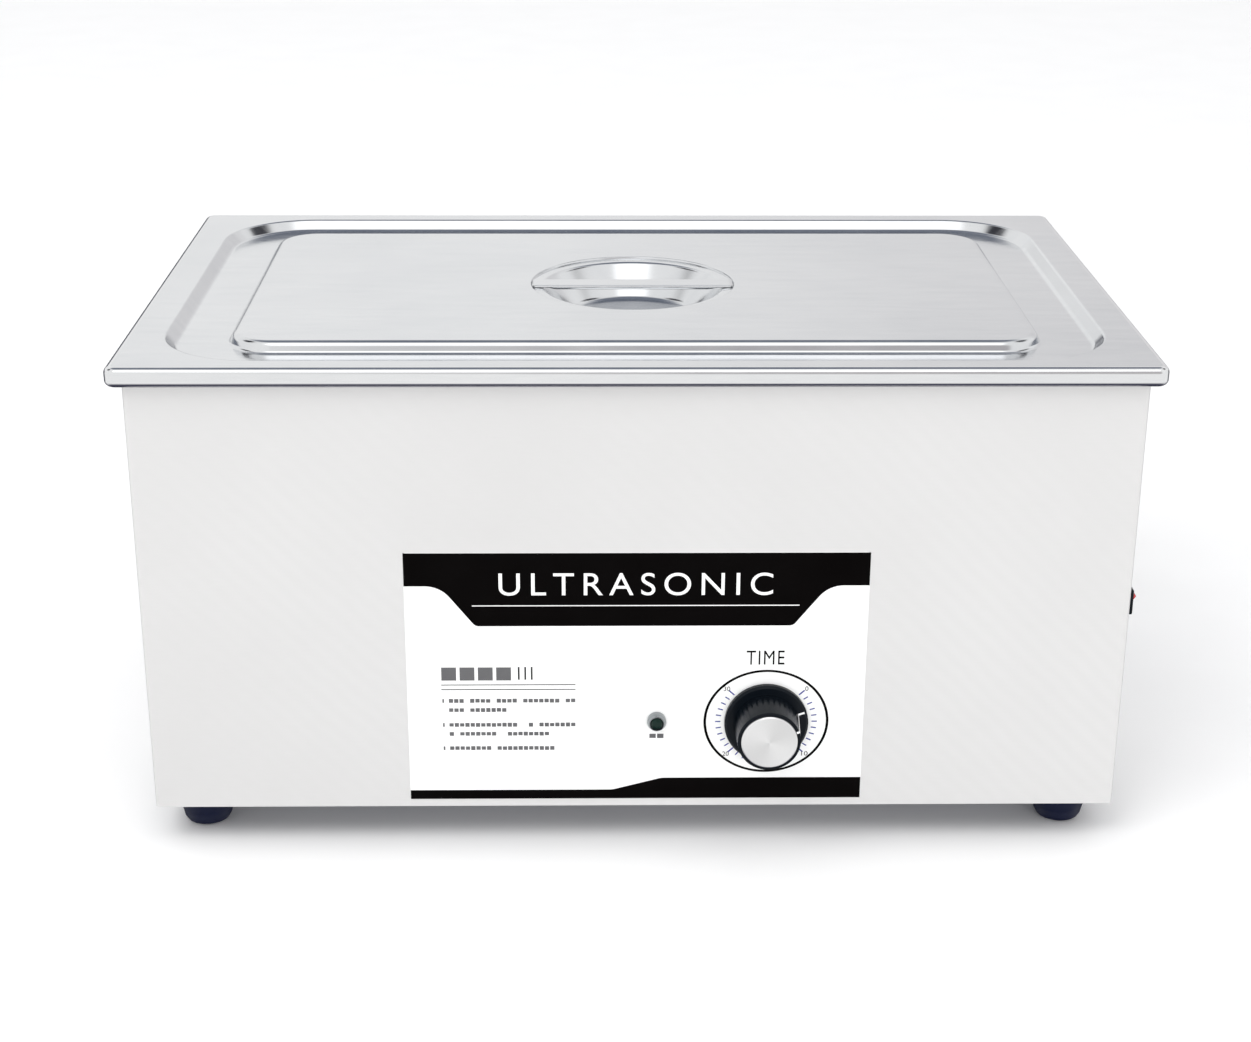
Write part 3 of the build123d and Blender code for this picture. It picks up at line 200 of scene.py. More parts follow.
def cabinet_material():
    """Satin stainless with a fine embossed diagonal mesh that only shows close up."""
    material, tree, shader = new_material("cabinet steel", (0.80, 0.795, 0.79), 0.55, 0.48)
    cloud = noise(tree, object_coords(tree), 5.0, 3.0, 0.55)
    grain = noise(tree, object_coords(tree, (1.0, 1.0, 14.0)), 90.0, 3.0, 0.6)
    weave = tree.nodes.new("ShaderNodeTexWave")
    weave.wave_type = "BANDS"
    weave.bands_direction = "DIAGONAL"
    weave.inputs["Scale"].default_value = 55.0
    weave.inputs["Distortion"].default_value = 1.2
    weave.inputs["Detail"].default_value = 1.0
    tree.links.new(object_coords(tree), weave.inputs["Vector"])
    mask = spread(tree, cloud, 0.0, 1.0)
    colour = blend_colours(tree, mask, (0.765, 0.76, 0.755), (0.815, 0.812, 0.807))
    fine = tree.nodes.new("ShaderNodeMix")
    fine.data_type = "RGBA"
    fine.inputs[7].default_value = (0.77, 0.767, 0.76, 1.0)
    tree.links.new(colour, fine.inputs[6])
    tree.links.new(spread(tree, weave.outputs["Fac"], 0.0, 0.3, 0.0, 1.0), fine.inputs["Factor"])
    tree.links.new(fine.outputs[2], shader.inputs["Base Color"])
    tree.links.new(spread(tree, grain, 0.42, 0.54), shader.inputs["Roughness"])
    bump(tree, shader, grain, 0.10, 0.0002)
    bump(tree, shader, weave.outputs["Fac"], 0.05, 0.0001)
    return material


def spun_cap_material(middle):
    """Aluminium turned on its face: fine rings about the knob's axis and a faint fan of light and dark
    painted into its colour as painted reflection.
    """
    material, tree, shader = new_material("spun cap", (0.86, 0.86, 0.87), 1.0, 0.24)
    coords = tree.nodes.new("ShaderNodeTexCoord")
    shift = tree.nodes.new("ShaderNodeMapping")
    shift.inputs["Location"].default_value = (-middle.x, 0.0, -middle.z)
    shift.inputs["Scale"].default_value = (1.0, 0.0, 1.0)
    tree.links.new(coords.outputs["Object"], shift.inputs["Vector"])
    rings = tree.nodes.new("ShaderNodeTexWave")
    rings.wave_type = "RINGS"
    rings.rings_direction = "SPHERICAL"
    rings.inputs["Scale"].default_value = 650.0
    rings.inputs["Distortion"].default_value = 0.6
    rings.inputs["Detail"].default_value = 2.0
    tree.links.new(shift.outputs["Vector"], rings.inputs["Vector"])
    # Painted reflection: light and dark sectors around the axis stand in for the turned face's sheen
    angle = tree.nodes.new("ShaderNodeTexGradient")
    angle.gradient_type = "RADIAL"
    turn = tree.nodes.new("ShaderNodeMapping")
    turn.inputs["Rotation"].default_value = (math.radians(90), 0.0, 0.0)
    tree.links.new(shift.outputs["Vector"], turn.inputs["Vector"])
    tree.links.new(turn.outputs["Vector"], angle.inputs["Vector"])
    fan = tree.nodes.new("ShaderNodeMath")
    fan.operation = "MULTIPLY"
    fan.inputs[1].default_value = 4.0 * math.pi
    tree.links.new(angle.outputs["Fac"], fan.inputs[0])
    glint = tree.nodes.new("ShaderNodeMath")
    glint.operation = "SINE"
    tree.links.new(fan.outputs[0], glint.inputs[0])
    tone = spread(tree, glint.outputs[0], 0.0, 1.0, -1.0, 1.0)
    painted_sheen_colour = blend_colours(tree, tone, (0.78, 0.78, 0.78), (0.90, 0.90, 0.90))
    tree.links.new(painted_sheen_colour, shader.inputs["Base Color"])
    tree.links.new(spread(tree, rings.outputs["Fac"], 0.20, 0.34, 0.0, 1.0), shader.inputs["Roughness"])
    bump(tree, shader, rings.outputs["Fac"], 0.12, 0.0001)
    return material


def lens_material():
    """Dark green tinted lens with a light clear coat."""
    material = plastic("green lens", (0.001, 0.014, 0.010), 0.15, 0.004, 0.05, 400.0, 0.1)
    material.node_tree.nodes["Principled BSDF"].inputs["Specular IOR Level"].default_value = 0.2
    return material


def board_material():
    """Circuit board: green mask with faint copper tracks."""
    material, tree, shader = new_material("board", (0.02, 0.17, 0.07), 0.0, 0.3)
    tracks = tree.nodes.new("ShaderNodeTexBrick")
    tracks.inputs["Scale"].default_value = 90.0
    tracks.inputs["Mortar Size"].default_value = 0.04
    tracks.inputs["Color1"].default_value = (0.02, 0.17, 0.07, 1.0)
    tracks.inputs["Color2"].default_value = (0.022, 0.19, 0.08, 1.0)
    tracks.inputs["Mortar"].default_value = (0.06, 0.34, 0.13, 1.0)
    tree.links.new(object_coords(tree), tracks.inputs["Vector"])
    tree.links.new(tracks.outputs["Color"], shader.inputs["Base Color"])
    bump(tree, shader, tracks.outputs["Fac"], 0.3, 0.0001)
    return material


def wound_material(name, colour, dark):
    """Windings: fine ridges of enamelled wire."""
    material, tree, shader = new_material(name, colour, 0.8, 0.35)
    ridges = tree.nodes.new("ShaderNodeTexWave")
    ridges.bands_direction = "Z"
    ridges.inputs["Scale"].default_value = 180.0
    tree.links.new(object_coords(tree), ridges.inputs["Vector"])
    tree.links.new(blend_colours(tree, ridges.outputs["Fac"], dark, colour), shader.inputs["Base Color"])
    bump(tree, shader, ridges.outputs["Fac"], 0.6, 0.0004)
    return material


def glass_material():
    material, tree, shader = new_material("fuse glass", (0.9, 0.95, 0.95), 0.0, 0.05)
    shader.inputs["Transmission Weight"].default_value = 0.9
    haze = noise(tree, object_coords(tree), 300.0)
    tree.links.new(spread(tree, haze, 0.03, 0.1), shader.inputs["Roughness"])
    return material


def shade_below(material, top, bottom, shade):
    """Paints shade into a material: darkens its colour smoothly from one height down to another, in metres.
    """
    tree = material.node_tree
    shader = tree.nodes["Principled BSDF"]
    source = shader.inputs["Base Color"].links[0].from_socket
    parts = tree.nodes.new("ShaderNodeSeparateXYZ")
    tree.links.new(object_coords(tree), parts.inputs["Vector"])
    mix = tree.nodes.new("ShaderNodeMix")
    mix.data_type = "RGBA"
    mix.inputs[7].default_value = (*shade, 1.0)
    tree.links.new(source, mix.inputs[6])
    tree.links.new(spread(tree, parts.outputs["Z"], 0.0, 1.0, top, bottom), mix.inputs["Factor"])
    tree.links.new(mix.outputs[2], shader.inputs["Base Color"])


LID_STEEL = metal(
    "lid steel", (0.80, 0.81, 0.82), (0.69, 0.705, 0.725), (0.12, 0.21),
    (1.0, 7.0, 1.0), 22.0, 0.04, 9.0, 0.0009,
)
# Curled hem: a lighter copy of the lid steel as a painted highlight for the curl's bright band
HEM_STEEL_PAINTED_LIGHT_AND_SHADE = metal(
    "hem steel with painted highlight and shade", (0.86, 0.865, 0.87), (0.78, 0.79, 0.80), (0.12, 0.18),
    (1.0, 9.0, 9.0), 60.0, 0.04, 7.0, 0.0003,
)
# Painted shade: the hem darkens towards its lower edge, standing in for the curl's shadowed underside
shade_below(HEM_STEEL_PAINTED_LIGHT_AND_SHADE, 0.2628, 0.2602, (0.28, 0.28, 0.33))
# Chrome trim with painted shade: its colour is darkened to stand in for the darker room it reflects
CHROME_PAINTED_SHADE = metal(
    "chrome with painted shade", (0.36, 0.38, 0.39), (0.26, 0.28, 0.29), (0.10, 0.16), (1, 1, 1), 120.0, 0.03
)
MATERIALS = {
    "cabinet_steel": cabinet_material(),
    "tank_steel": metal(
        "tank steel", (0.76, 0.77, 0.78), (0.71, 0.72, 0.73), (0.24, 0.32), (1, 1, 6), 70.0, 0.04, 8.0, 0.0001
    ),
    "lid_steel": LID_STEEL,
    "base_steel": metal(
        "base steel", (0.60, 0.61, 0.62), (0.46, 0.47, 0.48), (0.35, 0.5), (1, 1, 1), 160.0, 0.2
    ),
    "fastener_steel": metal(
        "plated screws", (0.62, 0.62, 0.63), (0.45, 0.45, 0.46), (0.22, 0.38), (1, 1, 1), 500.0, 0.2
    ),
    "foot_rubber": plastic("foot rubber", (0.007, 0.010, 0.032), 0.45, 0.008, 0.25, 700.0, 0.0, 0.18),
    "panel_film": plastic("panel film", (0.93, 0.935, 0.93), 0.34, 0.02, 0.10, 1600.0),
    "black_plastic": plastic("black plastic", (0.002, 0.004, 0.007), 0.22, 0.003, 0.10, 1200.0, 0.0, 0.12),
    "cap_aluminium": spun_cap_material(centre("knob_cap")),
    "chrome_trim": CHROME_PAINTED_SHADE,
    "green_lens": lens_material(),
    "red_plastic": plastic("red plastic", (0.50, 0.012, 0.010), 0.22, 0.02, 0.05, 800.0, 0.5),
    "fitting_steel": metal(
        "fitting steel", (0.66, 0.66, 0.66), (0.50, 0.50, 0.50), (0.25, 0.4), (1, 9, 1), 220.0, 0.2
    ),
    "fitting_brass": metal(
        "brass", (0.80, 0.62, 0.28), (0.60, 0.44, 0.18), (0.22, 0.38), (1, 9, 1), 220.0, 0.2
    ),
    "lever_grip": plastic("lever sleeve", (0.02, 0.07, 0.30), 0.30, 0.02, 0.12, 500.0, 0.3),
    "grey_plastic": plastic("grey plastic", (0.10, 0.10, 0.11), 0.45, 0.02, 0.2),
    "board_green": board_material(),
    "sink_aluminium": metal(
        "heat sink", (0.72, 0.73, 0.74), (0.60, 0.61, 0.62), (0.3, 0.45), (1, 9, 1), 260.0, 0.2
    ),
    "ferrite": ceramic_like("ferrite", (0.07, 0.07, 0.08), (0.03, 0.03, 0.035), 0.5, 700.0),
    "copper_wire": wound_material("copper wire", (0.72, 0.30, 0.12), (0.30, 0.10, 0.04)),
    "ceramic": ceramic_like("ceramic", (0.36, 0.33, 0.29), (0.24, 0.21, 0.18), 0.55, 500.0),
    "stack_aluminium": metal(
        "turned aluminium", (0.76, 0.77, 0.78), (0.62, 0.63, 0.64), (0.25, 0.4), (1, 1, 9), 260.0, 0.2
    ),
    "electrode_brass": metal(
        "electrode brass", (0.80, 0.64, 0.32), (0.62, 0.48, 0.22), (0.25, 0.4), (1, 1, 1), 400.0, 0.15
    ),
    "fuse_glass": glass_material(),
    "wire_sheath": plastic("wire sheath", (0.03, 0.03, 0.034), 0.5, 0.015, 0.3, 600.0),
}
INK_BLACK = plastic("black ink", (0.0015, 0.001, 0.001), 0.5, 0.001, 0.05, 1600.0, 0.0, 0.03)
INK_GREY = plastic("grey ink", (0.11, 0.11, 0.115), 0.45, 0.03, 0.05, 1600.0, 0.0, 0.2)
INK_DARK = plastic("dark ink", (0.012, 0.012, 0.013), 0.45, 0.006, 0.05, 1600.0, 0.0, 0.2)
INK_BLUE = plastic("blue ink", (0.02, 0.03, 0.26), 0.45, 0.01, 0.05, 1600.0, 0.0, 0.2)
INK_WHITE = plastic("white ink", (0.92, 0.92, 0.92), 0.35, 0.02, 0.05, 1600.0)


def dress_cad_nodes():
    """Gives every CAD node its slot's material."""
    slots = {row["node"]: row["material_slot"] for row in frame["record"]["subparts"]}
    for name, piece in nodes.items():
        piece.data.materials.clear()
        piece.data.materials.append(MATERIALS[slots[name]])


# ---- lid ---------------------------------------------------------------------------------------
# The same pressing as the CAD lid, with its bends rounded. Lengths in millimetres,
# heights from the rim's top.
LID_LOW, LID_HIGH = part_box("lid_cover")
RIM_TOP = LID_HIGH[2] / MM
LID_HALF_X = (LID_HIGH[0] - LID_LOW[0]) / 2 / MM
LID_HALF_Y = (LID_HIGH[1] - LID_LOW[1]) / 2 / MM
LID_CORNER = 6.0
SHEET = 0.8
HEM_ROUND = 3.5
HEM_H = 10.4
RECESS = (244.0, 148.0, 50.0)
RECESS_DEPTH = 6.0
RECESS_RUN = 5.0
PLATEAU = (212.0, 117.0, 24.0)
PLATEAU_RUN = 2.0
POCKET_R = 57.0
SHOULDER_R = 50.0
POCKET_FLOOR_R = 37.5
POCKET_DEPTH = 20.0
STRAP_T = 1.2
HEM_RINGS = 28
CORNER_STEPS = 14
LONG_STEPS = 24
SHORT_STEPS = 14


def rounded_outline(half_x, half_y, corner):
    """Points of a rounded rectangle, anticlockwise from the right side's middle."""
    straight_x = half_x - corner
    straight_y = half_y - corner
    points = []
    for quarter, (sx, sy) in enumerate(((1, 1), (-1, 1), (-1, -1), (1, -1))):
        for step in range(CORNER_STEPS + 1):
            angle = math.radians(90 * quarter) + math.radians(90) * step / CORNER_STEPS
            x = sx * straight_x + corner * math.cos(angle)
            y = sy * straight_y + corner * math.sin(angle)
            points.append((x, y))
        along_x = quarter % 2 == 0
        steps = LONG_STEPS if along_x else SHORT_STEPS
        for step in range(1, steps):
            share = 1 - 2 * step / steps
            if along_x:
                points.append((sx * straight_x * share, sy * half_y))
            else:
                points.append((sx * half_x, sy * straight_y * share))
    return points


def bend_profile(points, radii, steps=6):
    """Rounds the corners of an open (u, z) polyline with arcs of the given radii."""
    result = [points[0]]
    for index in range(1, len(points) - 1):
        before, here, after = (Vector(points[index + k]) for k in (-1, 0, 1))
        to_before = (before - here).normalized()
        to_after = (after - here).normalized()
        half = to_before.angle(to_after) / 2
        back = radii[index - 1] / math.tan(half)
        start = here + to_before * back
        end = here + to_after * back
        middle = here + (to_before + to_after).normalized() * (radii[index - 1] / math.sin(half))
        first = start - middle
        last = end - middle
        for step in range(steps + 1):
            share = step / steps
            direction = first.lerp(last, share).normalized() * radii[index - 1]
            result.append(tuple(middle + direction))
    result.append(points[-1])
    return result


def lid_rings():
    """Closed rings of the lid's upper skin, from the curled edge inwards."""
    rings = []
    half_x = LID_HALF_X - HEM_ROUND
    half_y = LID_HALF_Y - HEM_ROUND
    corner = LID_CORNER - HEM_ROUND
    for degrees in range(-190, 91, 10):
        out = HEM_ROUND * math.cos(math.radians(degrees))
        low = HEM_ROUND - HEM_H if degrees < 0 else -HEM_ROUND
        up = HEM_ROUND * math.sin(math.radians(degrees)) + low
        radius = max(0.4, corner + out)
        rings.append([(x, y, up) for x, y in rounded_outline(half_x + out, half_y + out, radius)])
    # Rim, recess wall and channel; u is how far in from the recess outline
    wall = bend_profile(
        [(-6.0, 0.0), (0.0, 0.0), (RECESS_RUN, -RECESS_DEPTH), (RECESS_RUN + 6.0, -RECESS_DEPTH)], [2.2, 3.6]
    )
    for u, z in wall:
        rings.append([(x, y, z) for x, y in rounded_outline(RECESS[0] - u, RECESS[1] - u, RECESS[2] - u)])
    step = bend_profile(
        [(-4.0, -RECESS_DEPTH), (0.0, -RECESS_DEPTH), (PLATEAU_RUN, 0.0), (PLATEAU_RUN + 6.0, 0.0)],
        [2.2, 4.0],
    )
    for u, z in step:
        rings.append([(x, y, z) for x, y in rounded_outline(PLATEAU[0] - u, PLATEAU[1] - u, PLATEAU[2] - u)])
    # The plateau closes in from the rounded rectangle to the round pocket
    template = rounded_outline(PLATEAU[0], PLATEAU[1], PLATEAU[2])
    angles = [math.atan2(y / PLATEAU[1], x / PLATEAU[0]) for x, y in template]
    inner = rings[-1]
    for share in (0.25, 0.5, 0.75, 0.9):
        ring = []
        for (x, y, z), angle in zip(inner, angles):
            round_x = (POCKET_R + 4) * math.cos(angle)
            round_y = (POCKET_R + 4) * math.sin(angle)
            ring.append((x + (round_x - x) * share, y + (round_y - y) * share, z))
        rings.append(ring)
    pocket = bend_profile(
        [
            (POCKET_R + 4, 0.0), (POCKET_R, 0.0), (POCKET_R - 0.25, -STRAP_T), (SHOULDER_R, -STRAP_T - 0.35),
            (POCKET_FLOOR_R, -POCKET_DEPTH), (8.0, -POCKET_DEPTH - 0.3),
        ],
        [0.5, 0.4, 3.0, 5.0],
    )
    for r, z in pocket:
        rings.append([(r * math.cos(a), r * math.sin(a), z) for a in angles])
    return rings


def build_lid():
    rings = lid_rings()
    count = len(rings[0])
    verts = [Vector((x, y, z + RIM_TOP)) * MM for ring in rings for x, y, z in ring]
    faces = []
    for ring in range(len(rings) - 1):
        for k in range(count):
            nxt = (k + 1) % count
            near = ring * count
            far = near + count
            faces.append((near + k, near + nxt, far + nxt, far + k))
    verts.append(Vector((0, 0, RIM_TOP - POCKET_DEPTH - 0.3)) * MM)
    hub = len(verts) - 1
    last = (len(rings) - 1) * count
    faces += [(last + k, last + (k + 1) % count, hub) for k in range(count)]
    lid = mesh_piece("lid_pressing", verts, faces, "lid", LID_STEEL)
    # The curled hem's rings take the lighter steel with its painted highlight and painted shade
    lid.data.materials.append(HEM_STEEL_PAINTED_LIGHT_AND_SHADE)
    for polygon in lid.data.polygons[:HEM_RINGS * count]:
        polygon.material_index = 1
    solid = lid.modifiers.new("sheet", "SOLIDIFY")
    solid.thickness = SHEET * MM
    solid.offset = -1.0
    solid.use_even_offset = True
    weighted_normals(lid)
    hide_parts("lid_cover")
    return lid


STRAP_HALF_W = 7.0
STRAP_LIP = 1.0
STRAP_REACH = POCKET_R - 0.45
STRAP_STATIONS = 48


def build_strap():
    """Handle strap with both edges turned down, its ends following the pocket's round."""
    verts = []
    faces = []
    w = STRAP_HALF_W
    t = STRAP_T
    for station in range(STRAP_STATIONS + 1):
        s = -1 + 2 * station / STRAP_STATIONS
        fade = min(1.0, max(0.0, (0.86 - abs(s)) / 0.10))
        lip = STRAP_LIP * fade * fade * (3 - 2 * fade)
        outer = [(-w, -t - lip), (-w, -0.9), (-w + 0.12, -0.42), (-w + 0.42, -0.12), (-w + 0.9, 0.0)]
        inner = [(-w + t, -t - lip), (-w + t, -t - 0.5 * fade), (-w + t + 0.4 * fade, -t)]
        section = outer + [(-y, z) for y, z in reversed(outer)]
        section += [(-y, z) for y, z in inner] + list(reversed(inner))
        for y, z in section:
            x = s * math.sqrt(STRAP_REACH ** 2 - y ** 2)
            verts.append(Vector((x, y, z + RIM_TOP)) * MM)
    size = len(verts) // (STRAP_STATIONS + 1)
    for station in range(STRAP_STATIONS):
        for k in range(size):
            nxt = (k + 1) % size
            near = station * size
            far = near + size
            faces.append((near + k, near + nxt, far + nxt, far + k))
    faces.append(tuple(reversed(range(size))))
    faces.append(tuple(range(STRAP_STATIONS * size, STRAP_STATIONS * size + size)))
    strap = mesh_piece("lid_strap", verts, faces, "lid", LID_STEEL)
    fix_normals(strap)
    weighted_normals(strap)
    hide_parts("lid_handle")
    return strap


# ---- printed panel -------------------------------------------------------------------------------
# Artwork on the film, in millimetres across (x) and up from the bench (z).
FILM_LOW, FILM_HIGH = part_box("control_panel_label")
FILM_FACE = FILM_LOW[1] / MM
FILM_LEFT = FILM_LOW[0] / MM
FILM_RIGHT = FILM_HIGH[0] / MM
FILM_BOTTOM = FILM_LOW[2] / MM
FILM_TOP = FILM_HIGH[2] / MM
DIAL = centre("knob_cap") / MM
LAMP = centre("lamp_lens") / MM
INK_T = 0.04
BOX_FACES = ((3, 2, 1, 0), (4, 5, 6, 7), (0, 1, 5, 4), (1, 2, 6, 5), (2, 3, 7, 6), (3, 0, 4, 7))


def print_shape(name, outline, material, layer=1):
    """A flat printed shape: its outline in (x, z), raised by one ink layer."""
    back = FILM_FACE
    face = FILM_FACE - INK_T * layer
    count = len(outline)
    verts = [Vector((x, back, z)) * MM for x, z in outline] + [Vector((x, face, z)) * MM for x, z in outline]
    faces = [tuple(range(count)), tuple(reversed(range(count, 2 * count)))]
    faces += [(k, k + count, (k + 1) % count + count, (k + 1) % count) for k in range(count)]
    piece = mesh_piece(name, verts, faces, "cabinet", material, smooth=False)
    fix_normals(piece)
    return piece


def bars(name, rectangles, material, layer=1):
    """Many small printed rectangles (left, right, bottom, top) in one piece."""
    verts = []
    faces = []
    for left, right, low, high in rectangles:
        base = len(verts)
        corners = ((left, low), (right, low), (right, high), (left, high))
        for y in (FILM_FACE, FILM_FACE - INK_T * layer):
            verts += [Vector((x, y, z)) * MM for x, z in corners]
        faces += [tuple(base + k for k in face) for face in BOX_FACES]
    piece = mesh_piece(name, verts, faces, "cabinet", material, smooth=False)
    fix_normals(piece)
    return piece


def lettering(
    name, words, x, z, height, width, material, body="cabinet", layer=1, spacing=1.0
):
    """Plain sans lettering, centred on (x, z) and fitted to a width."""
    curve = bpy.data.curves.new(name, "FONT")
    curve.body = words
    curve.size = 1.0
    curve.space_character = spacing
    curve.align_x = "CENTER"
    curve.align_y = "CENTER"
    curve.materials.append(material)
    text = bpy.data.objects.new(name, curve)
    bpy.context.scene.collection.objects.link(text)
    bpy.context.view_layer.update()
    low = Vector(text.bound_box[0])
    high = Vector(text.bound_box[6])
    span = high - low
    middle = (high + low) / 2
    scale_x = width * MM / span.x
    scale_z = height * MM / span.y
    curve.extrude = 0.5 * INK_T * MM
    place = Matrix.Translation(Vector((x * MM, (FILM_FACE - INK_T * (layer - 0.5)) * MM, z * MM)))
    stand = Matrix.Rotation(math.radians(90), 4, "X")
    size = Matrix.Diagonal((scale_x, scale_z, 1.0, 1.0))
    text.matrix_world = place @ stand @ size @ Matrix.Translation(-middle)
    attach(text, body)
    return text


def rounded_path(points, radii):
    """Closed outline with arcs at its corners; a radius of zero leaves a corner sharp."""
    result = []
    count = len(points)
    for index, radius in enumerate(radii):
        here = Vector(points[index])
        if radius == 0:
            result.append(tuple(here))
            continue
        to_before = (Vector(points[index - 1]) - here).normalized()
        to_after = (Vector(points[(index + 1) % count]) - here).normalized()
        half = to_before.angle(to_after) / 2
        middle = here + (to_before + to_after).normalized() * (radius / math.sin(half))
        back = radius / math.tan(half)
        first = here + to_before * back - middle
        last = here + to_after * back - middle
        for step in range(9):
            result.append(tuple(middle + first.lerp(last, step / 8).normalized() * radius))
    return result


def build_banner():
    """Black banner with a hanging centre tab, its rule and its word."""
    shoulder_z = 150.4
    tab_z = 127.8
    outline = rounded_path(
        [
            (FILM_LEFT, FILM_TOP), (FILM_LEFT, shoulder_z), (-102.0, shoulder_z), (-84.0, tab_z),
            (81.5, tab_z), (99.5, shoulder_z), (FILM_RIGHT, shoulder_z), (FILM_RIGHT, FILM_TOP),
        ],
        [0, 0, 16, 4, 4, 16, 0, 0],
    )
    print_shape("panel_banner", outline, INK_BLACK)
    bars("panel_banner_rule", [(-85.5, 84.5, 139.1, 139.6)], INK_WHITE, 2)
    lettering("panel_title", "ULTRASONIC", -0.5, 151.4, 12.6, 142.0, INK_WHITE, layer=2, spacing=1.35)


def build_foot_band():
    low_z = 31.8
    high_z = 38.8
    outline = rounded_path(
        [
            (FILM_LEFT, FILM_BOTTOM), (FILM_RIGHT, FILM_BOTTOM), (FILM_RIGHT, high_z), (13.7, high_z),
            (-12.5, low_z), (FILM_LEFT, low_z),
        ],
        [0, 0, 0, 14, 14, 0],
    )
    print_shape("panel_foot_band", outline, INK_BLACK)


def blocks(left, right, low, high, width, gap):
    """One greeked line: even blocks, some of them left out as spaces."""
    count = int((right - left + gap) / (width + gap))
    result = []
    for index in range(count):
        x = left + index * (width + gap)
        if 0 < index < count - 1 and random.random() < 0.1:
            continue
        result.append((x, x + width, low + random.uniform(0, 0.25), high - random.uniform(0, 0.25)))
    return result


def build_notes():
    """Notes block in plain blocks, with no words."""
    heading = [(-102.4 + 9.6 * k, -94.6 + 9.6 * k, 96.6, 104.2) for k in range(4)]
    marks = [(-62.2 + 3.4 * k, -61.3 + 3.4 * k, 97.0, 104.4) for k in range(3)]
    bars("panel_notes_heading", heading, INK_GREY)
    bars("panel_notes_marks", marks, INK_DARK)
    bars("panel_notes_rules", [(-102.6, -32.0, 93.8, 94.3), (-102.6, -32.0, 91.1, 91.6)], INK_DARK)
    lines = (
        (-98.8, -32.0, 84.8), (-98.8, -66.0, 79.4), (-98.8, -32.0, 70.7),
        (-98.8, -44.0, 65.4), (-98.8, -41.0, 56.9),
    )
    for index, (left, right, z) in enumerate(lines):
        bars(f"panel_notes_line_{index + 1}", blocks(left, right, z - 1.2, z + 1.2, 2.25, 0.55), INK_GREY)
    bars("panel_notes_bullets", [(-102.2, -101.3, z - 1.1, z + 1.1) for z in (84.8, 70.7, 56.9)], INK_GREY)
    bars("panel_lamp_mark", blocks(LAMP.x - 3.8, LAMP.x + 3.9, 62.4, 65.2, 3.4, 0.7), INK_GREY)


DIAL_FLAT = 0.908
DIAL_RING_R = 33.2
DIAL_LINE = 1.4
SCALE_TURN = 270.0
SCALE_START = 45.0
TICK_STEP = 9.0
TICK_INNER_R = 24.2
LONG_TICK_R = 28.2
SHORT_TICK_R = 27.0
NUMBER_R = 29.8


def dial_point(radius, degrees):
    """A point on the printed dial, degrees clockwise from the top."""
    angle = math.radians(degrees)
    return DIAL.x + radius * math.sin(angle), DIAL.z + DIAL_FLAT * radius * math.cos(angle)


def build_dial():
    steps = 96
    verts = []
    faces = []
    for step in range(steps):
        for radius in (DIAL_RING_R, DIAL_RING_R - DIAL_LINE):
            x, z = dial_point(radius, 360 * step / steps)
            verts += [Vector((x, FILM_FACE, z)) * MM, Vector((x, FILM_FACE - INK_T, z)) * MM]
    for step in range(steps):
        a = 4 * step
        b = 4 * ((step + 1) % steps)
        faces += [
            (a, b, b + 1, a + 1), (a + 1, b + 1, b + 3, a + 3),
            (a + 3, b + 3, b + 2, a + 2), (a + 2, b + 2, b, a),
        ]
    ring = mesh_piece("dial_ring", verts, faces, "cabinet", INK_BLACK, smooth=False)
    fix_normals(ring)
    verts = []
    faces = []
    for index in range(int(SCALE_TURN / TICK_STEP) + 1):
        degrees = SCALE_START + index * TICK_STEP
        outer = LONG_TICK_R if index % 10 == 0 else SHORT_TICK_R
        half = 0.36 if index % 10 == 0 else 0.32
        angle = math.radians(degrees)
        side = Vector((math.cos(angle), -math.sin(angle))) * half
        base = len(verts)
        for y in (FILM_FACE, FILM_FACE - INK_T):
            for radius, sign in ((TICK_INNER_R, -1), (outer, -1), (outer, 1), (TICK_INNER_R, 1)):
                x, z = dial_point(radius, degrees)
                verts.append(Vector((x + sign * side.x, y, z + sign * side.y)) * MM)
        faces += [tuple(base + k for k in face) for face in BOX_FACES]
    ticks = mesh_piece("dial_ticks", verts, faces, "cabinet", INK_BLUE, smooth=False)
    fix_normals(ticks)
    for index, words in enumerate(("0", "10", "20", "30")):
        x, z = dial_point(NUMBER_R, SCALE_START + 90 * index)
        lettering(f"dial_number_{words}", words, x, z, 2.6, 1.7 * len(words), INK_DARK)
    lettering("dial_title", "TIME", DIAL.x - 1.2, 109.4, 8.0, 20.0, INK_BLACK, spacing=1.15)


# ---- knob pointer ---------------------------------------------------------------------------------
POINTER_TURN = 70.7


def build_pointer():
    """White line from the skirt's edge, up the grip and on to its front rim."""
    low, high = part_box("timer_knob")
    back = high[1] / MM
    front = low[1] / MM
    skirt_r = (high[0] - low[0]) / 2 / MM
    skirt_face = back - 3.6
    angle = math.radians(POINTER_TURN)
    out = Vector((math.sin(angle), 0, math.cos(angle)))
    side = Vector((math.cos(angle), 0, -math.sin(angle))) * 0.55
    axis = Vector((DIAL.x, 0, DIAL.z))
    lift = 0.06
    path = [
        (skirt_r - 1.1, skirt_face - lift), (17.75, skirt_face - lift), (16.65, front + 0.2),
        (16.3, front - lift), (15.0, front - lift),
    ]
    verts = []
    for r, y in path:
        for sign in (-1, 1):
            verts.append((axis + out * r + side * sign + Vector((0, y, 0))) * MM)
    faces = [(2 * k, 2 * k + 1, 2 * k + 3, 2 * k + 2) for k in range(len(path) - 1)]
    pointer = mesh_piece("knob_pointer", verts, faces, "knob", INK_WHITE, smooth=False)
    solid = pointer.modifiers.new("thickness", "SOLIDIFY")
    solid.thickness = 0.12 * MM
    solid.offset = 0.0
    return pointer


# ---- room, light and camera ------------------------------------------------------------------------
CAMERA_PLACE = (-0.0245, -1.2001, 0.5955)
CAMERA_YAW = -1.01
CAMERA_PITCH = 21.38
CAMERA_ROLL = 0.26
CAMERA_LENS = 63.2
SKY_STRENGTH = 0.95


